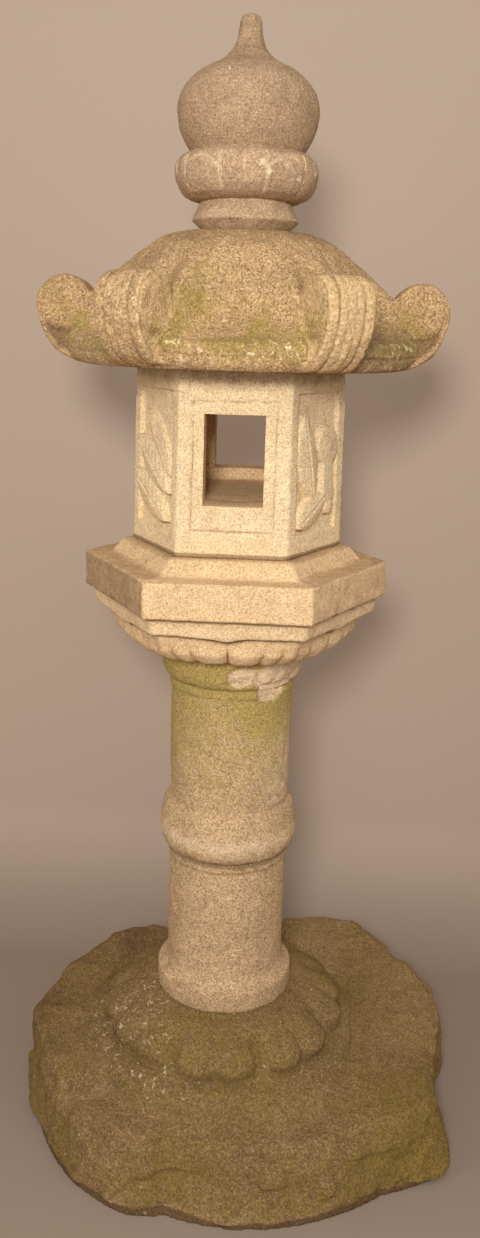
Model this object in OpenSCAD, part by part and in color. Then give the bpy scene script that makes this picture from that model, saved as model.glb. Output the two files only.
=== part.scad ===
// Stone lantern of the Kasuga kind: six carved granite stones stacked dry
// Sizes are in millimetres, +Z is up, and the origin is on the shaft's axis at ground level
// A flat side of the six-sided stones faces the front, which is -Y

/* [Base stone] */
// Height of the flat lotus seat above the ground
base_h = 236; // [190:2:320]
// Width of the rough stone from left to right
base_w = 780; // [700:5:1100]
// Depth of the rough stone from front to back
base_d = 708; // [640:4:1000]
// Bare edge of the seat round the shaft's foot
seat_edge = 8; // [3:1:20]
// Number of lotus petals round the seat
seat_petals = 8; // [6:1:12]
// Length of the petals on plan
petal_run = 82; // [50:1:95]
// Fall of the petals from the seat to their tips
petal_fall = 62; // [30:1:80]
// Depth of the notches between the petals
petal_notch = 9; // [3:1:20]
// Width of the carved ring outside the petals
ring_run = 36; // [20:1:50]
// Fall of the carved ring below the petal tips
ring_fall = 20; // [10:1:30]
// Fall from the carved ring to the rough top of the stone
rough_fall = 12; // [6:1:30]
// How far the rough front face leans in on its way up
front_lean = 56; // [0:1:60]

/* [Shaft] */
// Height of the shaft between its two bearing faces
shaft_h = 640; // [480:5:900]
// Radius of the plain shaft
shaft_r = 102; // [85:1:130]
// How far the foot stands out from the plain shaft
foot_out = 18; // [8:1:30]
// Height of the upright edge of the foot
foot_edge_h = 34; // [15:1:60]
// Height of the hollow curve above the foot's edge
foot_curve_h = 28; // [10:1:50]
// Height of the middle ring's lower edge above the seat
mid_ring_z = 272; // [180:2:360]
// Height of the middle ring
mid_ring_h = 90; // [60:1:130]
// How far the middle ring stands out from the plain shaft
mid_ring_out = 17; // [8:1:30]
// Height of the thin band under the middle ring and under the cap
thin_band_h = 14; // [8:1:24]
// How far the thin bands stand out from the plain shaft
thin_band_out = 3; // [1:0.5:6]
// Height of the cap under the platform
cap_h = 58; // [40:1:90]
// How far the cap stands out from the plain shaft
cap_out = 17; // [8:1:30]

/* [Platform] */
// Corner radius of the six-sided slab
slab_r = 249; // [225:1:320]
// Thickness of the slab's upright edge
slab_h = 58; // [30:1:90]
// Height of the petal bowl under the slab
bowl_h = 59; // [40:1:90]
// Bare edge of the bowl's bearing face round the shaft's cap
bowl_edge = 8; // [3:1:20]
// How far the scallops between the petal lobes cut in
lobe_cut = 8; // [3:1:14]
// Height of the sloped band between the bowl and the slab
band_h = 26; // [14:1:40]
// How far the band's top edge is set back from the slab's corner
band_back = 10; // [4:1:20]
// How far the band slopes in
band_slope = 17; // [8:1:24]
// Height of the raised step that carries the firebox
step_h = 24; // [10:1:40]
// Bare edge of the step round the firebox
step_edge = 14; // [6:1:24]
// How far the step's sides slope out
step_slope = 23; // [8:1:30]

/* [Firebox] */
// Height of the firebox
fire_h = 280; // [220:2:360]
// Corner radius of the firebox at its foot
fire_r = 170; // [155:1:190]
// How far the corners lean in at the top
fire_taper = 5; // [0:0.5:12]
// Radius of the round fire chamber
chamber_r = 104; // [85:1:115]
// Width of the window at the top
window_top_w = 88; // [60:1:110]
// Width of the window at the sill
window_sill_w = 93; // [60:1:110]
// Height of the front window
window_h = 136; // [90:1:170]
// Height of the front sill
sill_h = 79; // [50:1:110]
// How far the chamber's floor rises from the front sill to the back wall
floor_rise = 9; // [0:1:20]
// How much higher the sill of the back window is
back_sill_rise = 28; // [0:1:50]
// Width of the line cut round the windows
frame_w = 124; // [112:1:150]
// Distance from the window to the line above it
frame_gap = 19; // [12:1:40]
// Distance from the window to the line below it
frame_foot = 38; // [12:1:50]
// Depth of the cut line
frame_line_deep = 2.5; // [1:0.5:5]
// Width of the cut line
frame_line_w = 4; // [2:0.5:8]
// Width of the sunk side panels
panel_w = 126; // [100:1:140]
// Height of the bare border above and below a side panel
panel_border = 34; // [20:1:50]
// Depth of the side panels
panel_deep = 6; // [3:0.5:9]
// Height of the carved leaves above the panel's ground
relief_h = 10; // [5:0.5:14]

/* [Roof] */
// Height of the roof from the firebox to the finial's seat
roof_h = 197; // [160:1:260]
// Distance from the axis to the middle of an eave
eave_reach = 256; // [235:1:290]
// Height of the rounded eave edge
eave_h = 38; // [24:1:50]
// How far the eave is drawn out towards each scroll
eave_flare = 14; // [0:1:24]
// Distance from the axis to the dome's foot in the middle of a side
dome_reach = 194; // [180:1:215]
// How far the dome's foot is drawn out beside each scroll
dome_flare = 56; // [0:1:64]
// Height of the dome's foot above the underside
dome_foot_z = 77; // [60:1:100]
// Bare edge of the finial's seat
top_edge = 17; // [8:1:30]
// Distance from the axis to the outside of a scroll
scroll_reach = 316; // [305:1:350]
// Radius of the scroll's curl
curl_r = 43; // [35:1:52]
// Height of the curl's centre above the underside
curl_z = 87; // [75:1:100]
// Length of the sweep under the scroll
scroll_sweep = 74; // [55:1:90]
// Width of a scroll
scroll_w = 76; // [55:1:90]
// Width of the hip ridges at the top of the dome
ridge_top_w = 34; // [20:1:50]
// How deeply the hip ridges hollow behind the scrolls, as a share of their run
ridge_hollow = 0.27; // [0.1:0.01:0.4]
// How far the hip ridges stay level with the top before they fall, as a share of their run
ridge_swell = 0.57; // [0.45:0.01:0.7]
// How far the round disc stands out from a scroll's flank
disc_out = 1.5; // [1:0.5:6]
// Width of the border round the disc
disc_border = 7; // [4:1:12]

/* [Finial] */
// Height of the finial
finial_h = 300; // [240:2:400]
// Radius of the neck where it meets the roof
neck_foot_r = 63; // [50:1:75]
// Radius of the neck's rim
neck_rim_r = 81; // [74:1:95]
// Height of the neck's rim
neck_rim_z = 16; // [8:1:24]
// Radius of the neck under the lotus collar
neck_top_r = 68; // [55:1:80]
// Height of the neck
neck_h = 43; // [30:1:60]
// Radius of the lotus collar
lotus_r = 108; // [95:1:130]
// Height of the lotus collar
lotus_h = 68; // [45:1:85]
// Radius of the waist between the collar and the jewel
waist_r = 83; // [70:1:92]
// Radius of the jewel
jewel_r = 105.5; // [92:0.5:125]
// Height of the jewel's widest part above the waist
jewel_low_h = 59; // [45:1:75]
// Height of the jewel's upper curve above its widest part
jewel_high_h = 72; // [55:1:90]
// Radius of the spike at the tip
spike_r = 15; // [9:0.5:20]
// Radius of the spike where it leaves the jewel
spike_root_r = 55; // [30:1:60]
// Length over which the spike thins to a third
spike_sweep = 16.5; // [8:0.5:26]

/* [Hidden joints] */
// Radius of the shaft's two tenons
shaft_tenon_r = 46; // [34:1:60]
// Length of the shaft's two tenons
shaft_tenon_h = 50; // [30:1:60]
// Radius of the finial's tenon
finial_tenon_r = 34; // [24:1:44]
// Length of the finial's tenon
finial_tenon_h = 50; // [30:1:80]
// Loose fit of a tenon in its mortise, all round
tenon_gap = 4; // [2:0.5:8]
// Space left below the end of a tenon
tenon_space = 10; // [4:1:20]

/* [Hidden] */
// Segments of a full turn
$fn = 96;
// Steps round the carved stones that are not turned, in degrees
turn_step = 3;
// Points along each curved piece of a profile
arc_steps = 12;
// Reach of a cut past the face it opens
past = 1;

// Levels of the bearing faces
shaft_z = base_h;
platform_z = shaft_z + shaft_h;
platform_h = bowl_h + band_h + slab_h + step_h;
fire_z = platform_z + platform_h;
roof_z = fire_z + fire_h;
finial_z = roof_z + roof_h;

// Radii of the bearing faces, each set by the stone that stands on it
seat_r = shaft_r + foot_out + seat_edge;
bowl_foot_r = shaft_r + cap_out + bowl_edge;
step_top_r = fire_r + step_edge;
dome_top_r = neck_foot_r + top_edge;

// Rough outline of the base stone: angle from +X and radius of its corners, for a stone 780 by 708
boulder_plan = [[0, 408], [9, 424], [21, 440], [33, 416], [51, 438], [60, 414], [69, 346], [90, 294],
                [114, 314], [129, 352], [147, 346], [156, 350], [180, 360], [204, 348], [231, 360],
                [249, 362], [258, 338], [273, 350], [303, 374], [318, 390], [333, 453], [342, 420],
                [351, 402], [360, 408]];
boulder_plan_w = 780;
boulder_plan_d = 708;
// Rise of the rough top from the front of the stone to the back
rough_tilt = 26;
// Rounding of the stone's upper edge, and how far its foot draws in
rough_edge = 20;
rough_foot_in = 12;

// Side faces of the firebox
fire_top_r = fire_r - fire_taper;
fire_apothem = fire_r * cos(30);
fire_lean = atan(fire_taper * cos(30) / fire_h);

// Points along an ellipse round a centre, from one angle to another
function arc(centre, rx, ry, from, to) =
    [for (i = [0 : arc_steps])
        let (a = from + (to - from) * i / arc_steps)
        [centre[0] + rx * cos(a), centre[1] + ry * sin(a)]];

// Points along a smooth curve that leaves its first end and reaches its last end along the two pulls
function sweep(from, pull_from, pull_to, to) =
    [for (i = [1 : arc_steps])
        let (t = i / arc_steps, s = 1 - t)
        s * s * s * from + 3 * s * s * t * pull_from + 3 * s * t * t * pull_to + t * t * t * to];

// Angle from the middle of the nearest side of a hexagon that has corners at 0, 60, 120 degrees
function from_side(a) = (a % 60) - 30;

// Radius of a hexagon of unit reach, rounded off towards a circle
function hexagon(a, round) = round + (1 - round) / cos(from_side(a));

// One level ring of points from a list of radii
function ring(radii, z) =
    let (step = 360 / len(radii))
    [for (i = [0 : len(radii) - 1]) [radii[i] * cos(i * step), radii[i] * sin(i * step), z]];

// Closed skin over rings of points, from the lowest ring to the highest
module skin(rings) {
    n = len(rings[0]);
    m = len(rings);
    points = [for (r = rings) each r];
    sides = [for (j = [0 : m - 2], i = [0 : n - 1])
        let (a = j * n + i, b = j * n + (i + 1) % n)
        each [[a, a + n, b], [b, a + n, b + n]]];
    bottom = [for (i = [0 : n - 1]) i];
    top = [for (i = [n - 1 : -1 : 0]) (m - 1) * n + i];
    polyhedron(concat(points), concat([bottom], sides, [top]));
}

// Round hole that takes a tenon, cut up or down from a bearing face
module mortise(tenon_r, tenon_h, up) {
    deep = tenon_h + tenon_space;
    translate([0, 0, up ? -past : -deep])
        cylinder(r = tenon_r + tenon_gap, h = deep + past);
}

// Height of a petal's outline over its width: 1 in the middle and 0 in the notch; one petal faces front
function petal_shape(a, count) =
    let (t = abs(((a + 90 + 180 / count) % (360 / count)) / (180 / count) - 1))
    sqrt(1 - t * t);

// Rough ground stone with a turned-down lotus carved on top
module base_stone() {
    sx = base_w / boulder_plan_w;
    sy = base_d / boulder_plan_d;
    angles = [0 : turn_step : 360 - turn_step];
    tip_r = seat_r + petal_run;
    tip_z = base_h - petal_fall;
    rim_r = tip_r + ring_run;
    rim_z = tip_z - ring_fall;
    rough_z = rim_z - rough_fall;
    belly_z = rough_z / 2;

    // A point on the rough side: inset from the outline, at a height that tilts with the stone
    function rough_ring(inset, lean, z, tilt) =
        [for (a = angles)
            let (
                leant = lookup(a, boulder_plan) - inset - lean * max(0, -sin(a)),
                r = max(leant, rim_r + 2 * rough_fall)
            )
            [r * cos(a) * sx, r * sin(a) * sy, z + tilt * sin(a)]];
    // A ring of the carved lotus, drawn in at the notches
    function lotus_ring(r, z, notch) =
        ring([for (a = angles) r - notch * (1 - petal_shape(a, seat_petals))], z);

    color([0.42, 0.38, 0.28])
    difference() {
        skin([
            rough_ring(rough_foot_in, 0, 0, 0),
            rough_ring(0, 0, belly_z * 0.45, 0),
            rough_ring(0, front_lean * 0.4, belly_z * 1.2, 0),
            rough_ring(rough_edge * 0.4, front_lean * 0.85, rough_z - rough_edge, rough_tilt),
            rough_ring(rough_edge * 1.6, front_lean, rough_z - rough_edge * 0.2, rough_tilt),
            lotus_ring(rim_r + rough_fall, rough_z, petal_notch * 0.4),
            lotus_ring(rim_r, rim_z, petal_notch * 0.6),
            lotus_ring(rim_r - rough_fall, rim_z + ring_fall * 0.4, petal_notch * 0.6),
            lotus_ring(tip_r, tip_z - ring_fall * 0.3, petal_notch),
            lotus_ring(tip_r - 2, tip_z, petal_notch),
            lotus_ring(tip_r - petal_run * 0.25, tip_z + petal_fall * 0.42, petal_notch * 0.7),
            lotus_ring(tip_r - petal_run * 0.6, tip_z + petal_fall * 0.78, petal_notch * 0.4),
            lotus_ring(seat_r, base_h, 0)
        ]);
        translate([0, 0, base_h])
            mortise(shaft_tenon_r, shaft_tenon_h, up = false);
    }
}

// Turned post with a foot, a middle ring, a cap and a tenon at each end
module shaft() {
    ring_peak = mid_ring_h * 0.42;
    groove = thin_band_out;
    cap_z = shaft_h - cap_h;
    cap_curve_h = cap_h * 0.62;
    outline = concat(
        [[0, 0], [shaft_r + foot_out, 0]],
        // Foot: upright edge and hollow curve
        arc([shaft_r + foot_out, foot_edge_h + foot_curve_h], foot_out, foot_curve_h, 270, 180),
        // Thin band and groove under the middle ring
        [[shaft_r, mid_ring_z - thin_band_h - groove],
         [shaft_r + thin_band_out, mid_ring_z - thin_band_h],
         [shaft_r + thin_band_out, mid_ring_z - groove],
         [shaft_r, mid_ring_z]],
        // Middle ring, full below and sloping away above
        arc([shaft_r + thin_band_out, mid_ring_z + ring_peak],
            mid_ring_out - thin_band_out, ring_peak - groove, -90, 0),
        arc([shaft_r, mid_ring_z + ring_peak], mid_ring_out, mid_ring_h - ring_peak, 8, 90),
        // Thin band and groove under the cap
        [[shaft_r, cap_z - thin_band_h - groove],
         [shaft_r + thin_band_out, cap_z - thin_band_h],
         [shaft_r + thin_band_out, cap_z - groove],
         [shaft_r, cap_z]],
        // Cap, swelling out to an upright edge
        arc([shaft_r, cap_z + cap_curve_h], cap_out, cap_curve_h, -80, 0),
        [[shaft_r + cap_out, shaft_h], [0, shaft_h]]
    );
    color([0.6, 0.55, 0.41])
    translate([0, 0, shaft_z]) {
        rotate_extrude()
            polygon(outline);
        translate([0, 0, -shaft_tenon_h])
            cylinder(r = shaft_tenon_r, h = shaft_tenon_h + past);
        translate([0, 0, shaft_h - past])
            cylinder(r = shaft_tenon_r, h = shaft_tenon_h + past);
    }
}

// Outline of the petal bowl round one side: two wide lobes, a narrower one on each hand
// of them, and half a petal at each corner
function lobe(a) =
    let (
        t = abs(from_side(a)),
        edges = [0, 18, 27, 33],
        i = t < edges[1] ? 0 : t < edges[2] ? 1 : 2,
        middle = (edges[i] + edges[i + 1]) / 2,
        half = (edges[i + 1] - edges[i]) / 2
    )
    sqrt(max(0, 1 - pow((t - middle) / half, 2)));

// Six-sided platform: petal bowl, sloped band, slab and the raised step under the firebox
module platform() {
    angles = [0 : turn_step : 360 - turn_step];
    slab_z = bowl_h + band_h;
    band_top = (slab_r - band_back) * cos(30);
    band_foot = (slab_r - band_back - band_slope) * cos(30);
    bowl_top = band_foot - lobe_cut * 0.4;

    // A level of the bowl: part of the way from its bearing face to its top edge
    function bowl_ring(out, rise, round, cut) =
        let (reach = bowl_foot_r + (bowl_top - bowl_foot_r) * out)
        ring([for (a = angles) reach * hexagon(a, round) - lobe_cut * cut * (1 - lobe(a))], bowl_h * rise);
    function band_ring(reach, z) =
        ring([for (a = angles) reach * hexagon(a, 0)], z);

    color([0.72, 0.66, 0.5])
    translate([0, 0, platform_z])
    difference() {
        union() {
            skin([
                bowl_ring(0, 0, 1, 0),
                bowl_ring(0.4, 0.07, 0.95, 0.7),
                bowl_ring(0.68, 0.21, 0.75, 1),
                bowl_ring(0.87, 0.43, 0.45, 1),
                bowl_ring(0.97, 0.7, 0.2, 0.9),
                bowl_ring(1, 0.92, 0.05, 0.6),
                band_ring(band_foot, bowl_h),
                band_ring(band_foot + (band_top - band_foot) * 0.45, bowl_h + band_h * 0.55),
                band_ring(band_top, slab_z + past)
            ]);
            translate([0, 0, slab_z])
                cylinder(r = slab_r, h = slab_h, $fn = 6);
            translate([0, 0, slab_z + slab_h])
                cylinder(r1 = step_top_r + step_slope, r2 = step_top_r, h = step_h, $fn = 6);
        }
        mortise(shaft_tenon_r, shaft_tenon_h, up = true);
    }
}

// Places its children on a side of the firebox: x across, y up the face, z outwards; side 0 is the front
module on_side(k) {
    rotate([0, 0, 60 * k])
        translate([0, -fire_apothem, 0])
        rotate([90 - fire_lean, 0, 0])
        children();
}

// Pointed leaf outline between two points
module leaf(from, to, wide) {
    run = to - from;
    long = norm(run);
    bow = (long * long + wide * wide) / (4 * wide);
    translate(from)
        rotate(atan2(run[1], run[0]))
        intersection() {
            translate([long / 2, bow - wide / 2]) circle(r = bow);
            translate([long / 2, wide / 2 - bow]) circle(r = bow);
        }
}

// Carving of broad leaves that fan out from the lower right
module leaf_fan() {
    linear_extrude(relief_h) {
        leaf([50, 48], [-82, 116], 52);
        leaf([56, 92], [-66, 172], 50);
    }
    linear_extrude(relief_h * 0.7)
        leaf([56, 118], [-30, 214], 44);
}

// Carving of a tall leaf, a bud on its stem and lobed leaves below
module bud_and_leaves() {
    linear_extrude(relief_h) {
        leaf([-16, 84], [-50, 216], 54);
        leaf([28, 92], [-64, 46], 44);
        translate([27, 166]) circle(r = 30);
    }
    linear_extrude(relief_h * 0.8) {
        translate([11, 92]) square([32, 74]);
        translate([36, 92]) circle(r = 18);
        translate([38, 70]) circle(r = 13);
    }
}

// Window cut from the chamber out through one side
module window(k, sill) {
    top = sill_h + window_h;
    out = fire_r;
    rotate([0, 0, 60 * k])
        rotate([90, 0, 0])
        linear_extrude(out)
        polygon([[-window_sill_w / 2, sill], [window_sill_w / 2, sill],
                 [window_top_w / 2, top], [-window_top_w / 2, top]]);
}

// Everything of a cut that is above the chamber's floor, which rises from the front sill to the back wall
module above_floor() {
    fall = atan(floor_rise / (fire_apothem + chamber_r));
    intersection() {
        children();
        translate([0, -fire_apothem, sill_h])
            rotate([fall, 0, 0])
            translate([-fire_r, -fire_r, 0])
            cube([2 * fire_r, 4 * fire_r, 2 * fire_h]);
    }
}

// Line cut round a window
module frame_line(k) {
    tall = frame_foot + window_h + frame_gap;
    on_side(k)
        translate([-frame_w / 2, sill_h - frame_foot, -frame_line_deep])
        difference() {
            cube([frame_w, tall, frame_line_deep + past]);
            translate([frame_line_w, frame_line_w, -past])
                cube([frame_w - 2 * frame_line_w, tall - 2 * frame_line_w, frame_line_deep + 3 * past]);
        }
}

// Six-sided light chamber: windows front and back, a sunk panel with carved leaves on each other side
module firebox() {
    panel_h = fire_h - 2 * panel_border;
    color([0.8, 0.73, 0.57])
    translate([0, 0, fire_z])
    difference() {
        union() {
            difference() {
                cylinder(r1 = fire_r, r2 = fire_top_r, h = fire_h, $fn = 6);
                for (k = [1, 2, 4, 5])
                    on_side(k)
                    translate([-panel_w / 2, panel_border, -panel_deep])
                    cube([panel_w, panel_h, panel_deep + past]);
            }
            for (k = [2, 5])
                on_side(k) translate([0, 0, -panel_deep]) leaf_fan();
            for (k = [1, 4])
                on_side(k) translate([0, 0, -panel_deep]) bud_and_leaves();
        }
        above_floor() {
            cylinder(r = chamber_r, h = 2 * fire_h);
            window(0, 0);
        }
        window(3, sill_h + back_sill_rise);
        frame_line(0);
        frame_line(3);
    }
}

// Scroll and hip ridge seen from the side: distance from the axis and height above the underside
function scroll_outline() =
    let (
        curl = [scroll_reach - curl_r, curl_z],
        curl_end = 165,
        valley = curl + curl_r * [cos(curl_end), sin(curl_end)],
        seat = [dome_top_r, roof_h],
        run = valley[0] - seat[0]
    )
    concat(
        [[dome_top_r, 0]],
        arc([scroll_reach - scroll_sweep, curl_z], scroll_sweep, curl_z, -90, 0),
        arc(curl, curl_r, curl_r, 0, curl_end),
        sweep(valley, valley + [-run * ridge_hollow, run * 0.05], seat + [run * ridge_swell, 0], seat)
    );

// One hip: the scroll with its two discs, and the ridge that runs up the dome
module hip() {
    disc_w = scroll_w + 2 * disc_out;
    valley_r = scroll_reach - 2 * curl_r;
    intersection() {
        rotate([90, 0, 0])
            translate([0, 0, -scroll_w / 2])
            linear_extrude(scroll_w)
            polygon(scroll_outline());
        linear_extrude(roof_h)
            polygon([[0, -ridge_top_w / 2], [dome_top_r, -ridge_top_w / 2], [valley_r, -scroll_w / 2],
                     [scroll_reach + past, -scroll_w / 2], [scroll_reach + past, scroll_w / 2],
                     [valley_r, scroll_w / 2], [dome_top_r, ridge_top_w / 2], [0, ridge_top_w / 2]]);
    }
    translate([scroll_reach - curl_r, disc_w / 2, curl_z])
        rotate([90, 0, 0])
        cylinder(r = curl_r - disc_border, h = disc_w);
}

// Six-sided domed roof with a curled scroll on each hip and a mortise for the finial
module roof() {
    angles = [0 : turn_step : 360 - turn_step];
    crest = roof_h - dome_foot_z;
    dome_steps = 8;
    // How far the dome's foot departs from a circle towards a hexagon
    dome_flat = 0.15;
    // Angle from the middle of a side to the flank of a scroll, where the dome is drawn out the most
    flank_a = 30 - asin(scroll_w / 2 / (dome_reach + dome_flare));

    // Share of the flare round a side: none in the middle, all at the scroll's flank, none on the hip
    function beside(a) =
        let (t = abs(from_side(a)))
        t < flank_a ? pow(t / flank_a, 3) : (30 - t) / (30 - flank_a);
    // A level of the eave, drawn out near the corners
    function eave_ring(reach, z, round, flare = 0) =
        ring([for (a = angles)
            reach * hexagon(a, round) + eave_flare * (1 - round) * pow(abs(from_side(a)) / 30, 6)
            + dome_flare * flare * beside(a)], z);
    // A level of the dome, from its six-sided foot to its round top
    function dome_ring(t) =
        let (reach = dome_top_r + (dome_reach - dome_top_r) * cos(t), flare = dome_flare * pow(cos(t), 8))
        ring([for (a = angles) reach * hexagon(a, 1 - dome_flat * cos(t)) + flare * beside(a)],
             dome_foot_z + crest * sin(t));

    color([0.6, 0.55, 0.4])
    translate([0, 0, roof_z])
    difference() {
        union() {
            skin(concat(
                [eave_ring(eave_reach - 9, 0, 0.95),
                 eave_ring(eave_reach - 2, eave_h * 0.2, 0.55),
                 eave_ring(eave_reach, eave_h * 0.55, 0.2),
                 eave_ring(eave_reach - 3, eave_h, 0),
                 eave_ring(eave_reach * 0.5 + dome_reach * 0.5, eave_h * 0.62 + dome_foot_z * 0.3, 0.25, 0.6),
                 eave_ring(eave_reach * 0.2 + dome_reach * 0.8, dome_foot_z * 0.78, 0.4, 0.92)],
                [for (i = [0 : dome_steps]) dome_ring(90 * i / dome_steps)]
            ));
            for (k = [0 : 5])
                rotate([0, 0, 60 * k]) hip();
        }
        translate([0, 0, roof_h])
            mortise(finial_tenon_r, finial_tenon_h, up = false);
    }
}

// Jewel, lotus collar and flared neck turned from one stone, with a tenon below
module finial() {
    lotus_foot_r = neck_top_r + 4;
    lotus_belly = lotus_h * 0.64;
    waist_z = neck_h + lotus_h;
    jewel_z = waist_z + jewel_low_h;
    // Height of the lower ellipse that brings the jewel's widest radius in to the waist
    jewel_low_ry = jewel_low_h / sqrt(1 - pow(waist_r / jewel_r, 2));
    waist_a = -asin(jewel_low_h / jewel_low_ry);
    root_a = acos(spike_root_r / jewel_r);
    root_z = jewel_z + jewel_high_h * sin(root_a);
    spike_h = finial_h - root_z;
    tip_round = spike_r * 0.6;
    spike_steps = 14;
    outline = concat(
        [[0, 0], [neck_foot_r, 0], [neck_rim_r, neck_rim_z], [neck_top_r, neck_h]],
        // Lotus collar: bowl, then a rolled edge in to the waist
        arc([lotus_foot_r, neck_h + lotus_belly], lotus_r - lotus_foot_r, lotus_belly, -90, 0),
        arc([waist_r, neck_h + lotus_belly], lotus_r - waist_r, lotus_h - lotus_belly, 6, 84),
        // Jewel below and above its widest part
        arc([0, jewel_z], jewel_r, jewel_low_ry, waist_a, 0),
        arc([0, jewel_z], jewel_r, jewel_high_h, 5, root_a - 1),
        // Hollow sweep up the spike to its blunt tip
        [for (i = [0 : spike_steps])
            let (z = (spike_h - tip_round) * i / spike_steps)
            [spike_r + (spike_root_r - spike_r) * exp(-z / spike_sweep), root_z + z]],
        arc([spike_r - tip_round, finial_h - tip_round], tip_round, tip_round, 10, 90),
        [[0, finial_h]]
    );
    color([0.56, 0.51, 0.41])
    translate([0, 0, finial_z]) {
        rotate_extrude()
            polygon(outline);
        translate([0, 0, -finial_tenon_h])
            cylinder(r = finial_tenon_r, h = finial_tenon_h + past);
    }
}

base_stone();
shaft();
platform();
firebox();
roof();
finial();
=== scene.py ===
import itertools
import math

import bpy
import numpy as np
from mathutils import Matrix, Vector


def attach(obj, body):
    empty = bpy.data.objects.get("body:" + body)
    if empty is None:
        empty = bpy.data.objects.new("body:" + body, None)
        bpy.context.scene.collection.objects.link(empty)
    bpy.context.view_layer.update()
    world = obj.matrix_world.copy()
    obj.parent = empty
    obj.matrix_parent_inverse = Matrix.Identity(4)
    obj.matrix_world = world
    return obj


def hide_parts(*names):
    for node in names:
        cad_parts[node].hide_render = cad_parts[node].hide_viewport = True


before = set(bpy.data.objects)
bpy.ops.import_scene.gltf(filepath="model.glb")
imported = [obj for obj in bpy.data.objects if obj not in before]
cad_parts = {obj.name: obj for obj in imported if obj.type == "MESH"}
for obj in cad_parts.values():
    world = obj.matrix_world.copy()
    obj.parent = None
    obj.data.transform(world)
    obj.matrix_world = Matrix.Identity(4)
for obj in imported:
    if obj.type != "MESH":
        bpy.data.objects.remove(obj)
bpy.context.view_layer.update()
bpy.ops.object.select_all(action="DESELECT")
scene = bpy.context.scene
scene.view_settings.view_transform = "Standard"

# Camera: a little above the roof's eave, tilted down and very slightly rolled, as in the photograph
CAMERA_PLACE = (0.079, -1.727, 1.379)
CAMERA_YAW = math.radians(2.62)
CAMERA_PITCH = math.radians(15.17)
CAMERA_ROLL = math.radians(1.66)
CAMERA_LENS = 31.1
CAMERA_SHIFT_X = 0.0050

camera = bpy.data.objects.new("camera", bpy.data.cameras.new("camera"))
scene.collection.objects.link(camera)
scene.camera = camera
camera.data.lens = CAMERA_LENS
camera.data.sensor_width = 36.0
camera.data.shift_x = CAMERA_SHIFT_X
camera.data.clip_start = 0.05
level = Vector((math.cos(CAMERA_YAW), math.sin(CAMERA_YAW), 0))
ahead = Vector((-math.sin(CAMERA_YAW), math.cos(CAMERA_YAW), 0)) * math.cos(CAMERA_PITCH)
ahead.z = -math.sin(CAMERA_PITCH)
plumb = level.cross(ahead)
camera_right = level * math.cos(CAMERA_ROLL) + plumb * math.sin(CAMERA_ROLL)
camera_up = plumb * math.cos(CAMERA_ROLL) - level * math.sin(CAMERA_ROLL)
camera_turn = Matrix((camera_right, camera_up, -ahead)).transposed().to_4x4()
camera.matrix_world = Matrix.Translation(CAMERA_PLACE) @ camera_turn

# Light: a soft lamp just above and to the left of the camera, weak ones on either hand and overhead,
# and an even sky
LAMPS = [
    # name, place, aim, size, watts
    ("key", (-0.10, -2.5, 1.88), (0, 0, 1.1), 0.45, 46),
    ("left", (-2.3, -2.0, 1.5), (0, 0, 0.9), 1.6, 15),
    ("right", (2.3, -2.2, 1.7), (0, 0, 0.9), 1.6, 11),
    ("top", (0.2, -2.0, 3.5), (0, 0, 1.1), 1.0, 11),
]
SKY_COLOUR = (1.0, 0.985, 0.96, 1)
SKY_STRENGTH = 0.47

for name, place, aim, size, watts in LAMPS:
    lamp = bpy.data.lights.new(name, "AREA")
    lamp.shape = "DISK"
    lamp.size = size
    lamp.energy = watts
    lamp_object = bpy.data.objects.new(name, lamp)
    scene.collection.objects.link(lamp_object)
    lamp_object.location = place
    lamp_object.rotation_euler = (Vector(aim) - Vector(place)).to_track_quat("-Z", "Y").to_euler()
world = bpy.data.worlds.new("sky")
world.use_nodes = True
world.node_tree.nodes["Background"].inputs["Color"].default_value = SKY_COLOUR
world.node_tree.nodes["Background"].inputs["Strength"].default_value = SKY_STRENGTH
scene.world = world

# Floor and backdrop: one plain pale sweep of paper, flat under the lantern and curved up close behind it,
# painted a little darker on the floor as painted shade where the light grazes it. It is clear from the
# back, so that views from there see the lantern.
SWEEP_COLOUR = (0.50, 0.375, 0.285, 1)
FLOOR_SHADE_COLOUR = (0.315, 0.236, 0.18, 1)
SWEEP_HALF = 6.0
SWEEP_BACK = 0.64
SWEEP_CURVE = 0.26
SWEEP_TOP = 5.0
SWEEP_STEPS = 24


def finish_mesh(piece):
    """Merges doubles and turns the faces outwards."""
    bpy.context.view_layer.objects.active = piece
    bpy.ops.object.mode_set(mode="EDIT")
    bpy.ops.mesh.select_all(action="SELECT")
    bpy.ops.mesh.remove_doubles(threshold=1e-6)
    bpy.ops.mesh.normals_make_consistent(inside=False)
    bpy.ops.object.mode_set(mode="OBJECT")


def chain(name, points):
    """A new object with one chain of edges through the points, left in edit mode with all selected."""
    bpy.ops.object.select_all(action="DESELECT")
    bpy.ops.mesh.primitive_plane_add(size=0.01)
    piece = bpy.context.object
    piece.name = name
    bpy.ops.object.mode_set(mode="EDIT")
    bpy.ops.mesh.select_mode(type="VERT")
    bpy.ops.mesh.select_all(action="SELECT")
    bpy.ops.mesh.merge(type="CENTER")
    bpy.ops.transform.translate(value=points[0])
    for start, end in zip(points, points[1:]):
        step = Vector(end) - Vector(start)
        bpy.ops.mesh.extrude_region_move(TRANSFORM_OT_translate={"value": step})
    bpy.ops.mesh.select_all(action="SELECT")
    return piece


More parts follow.
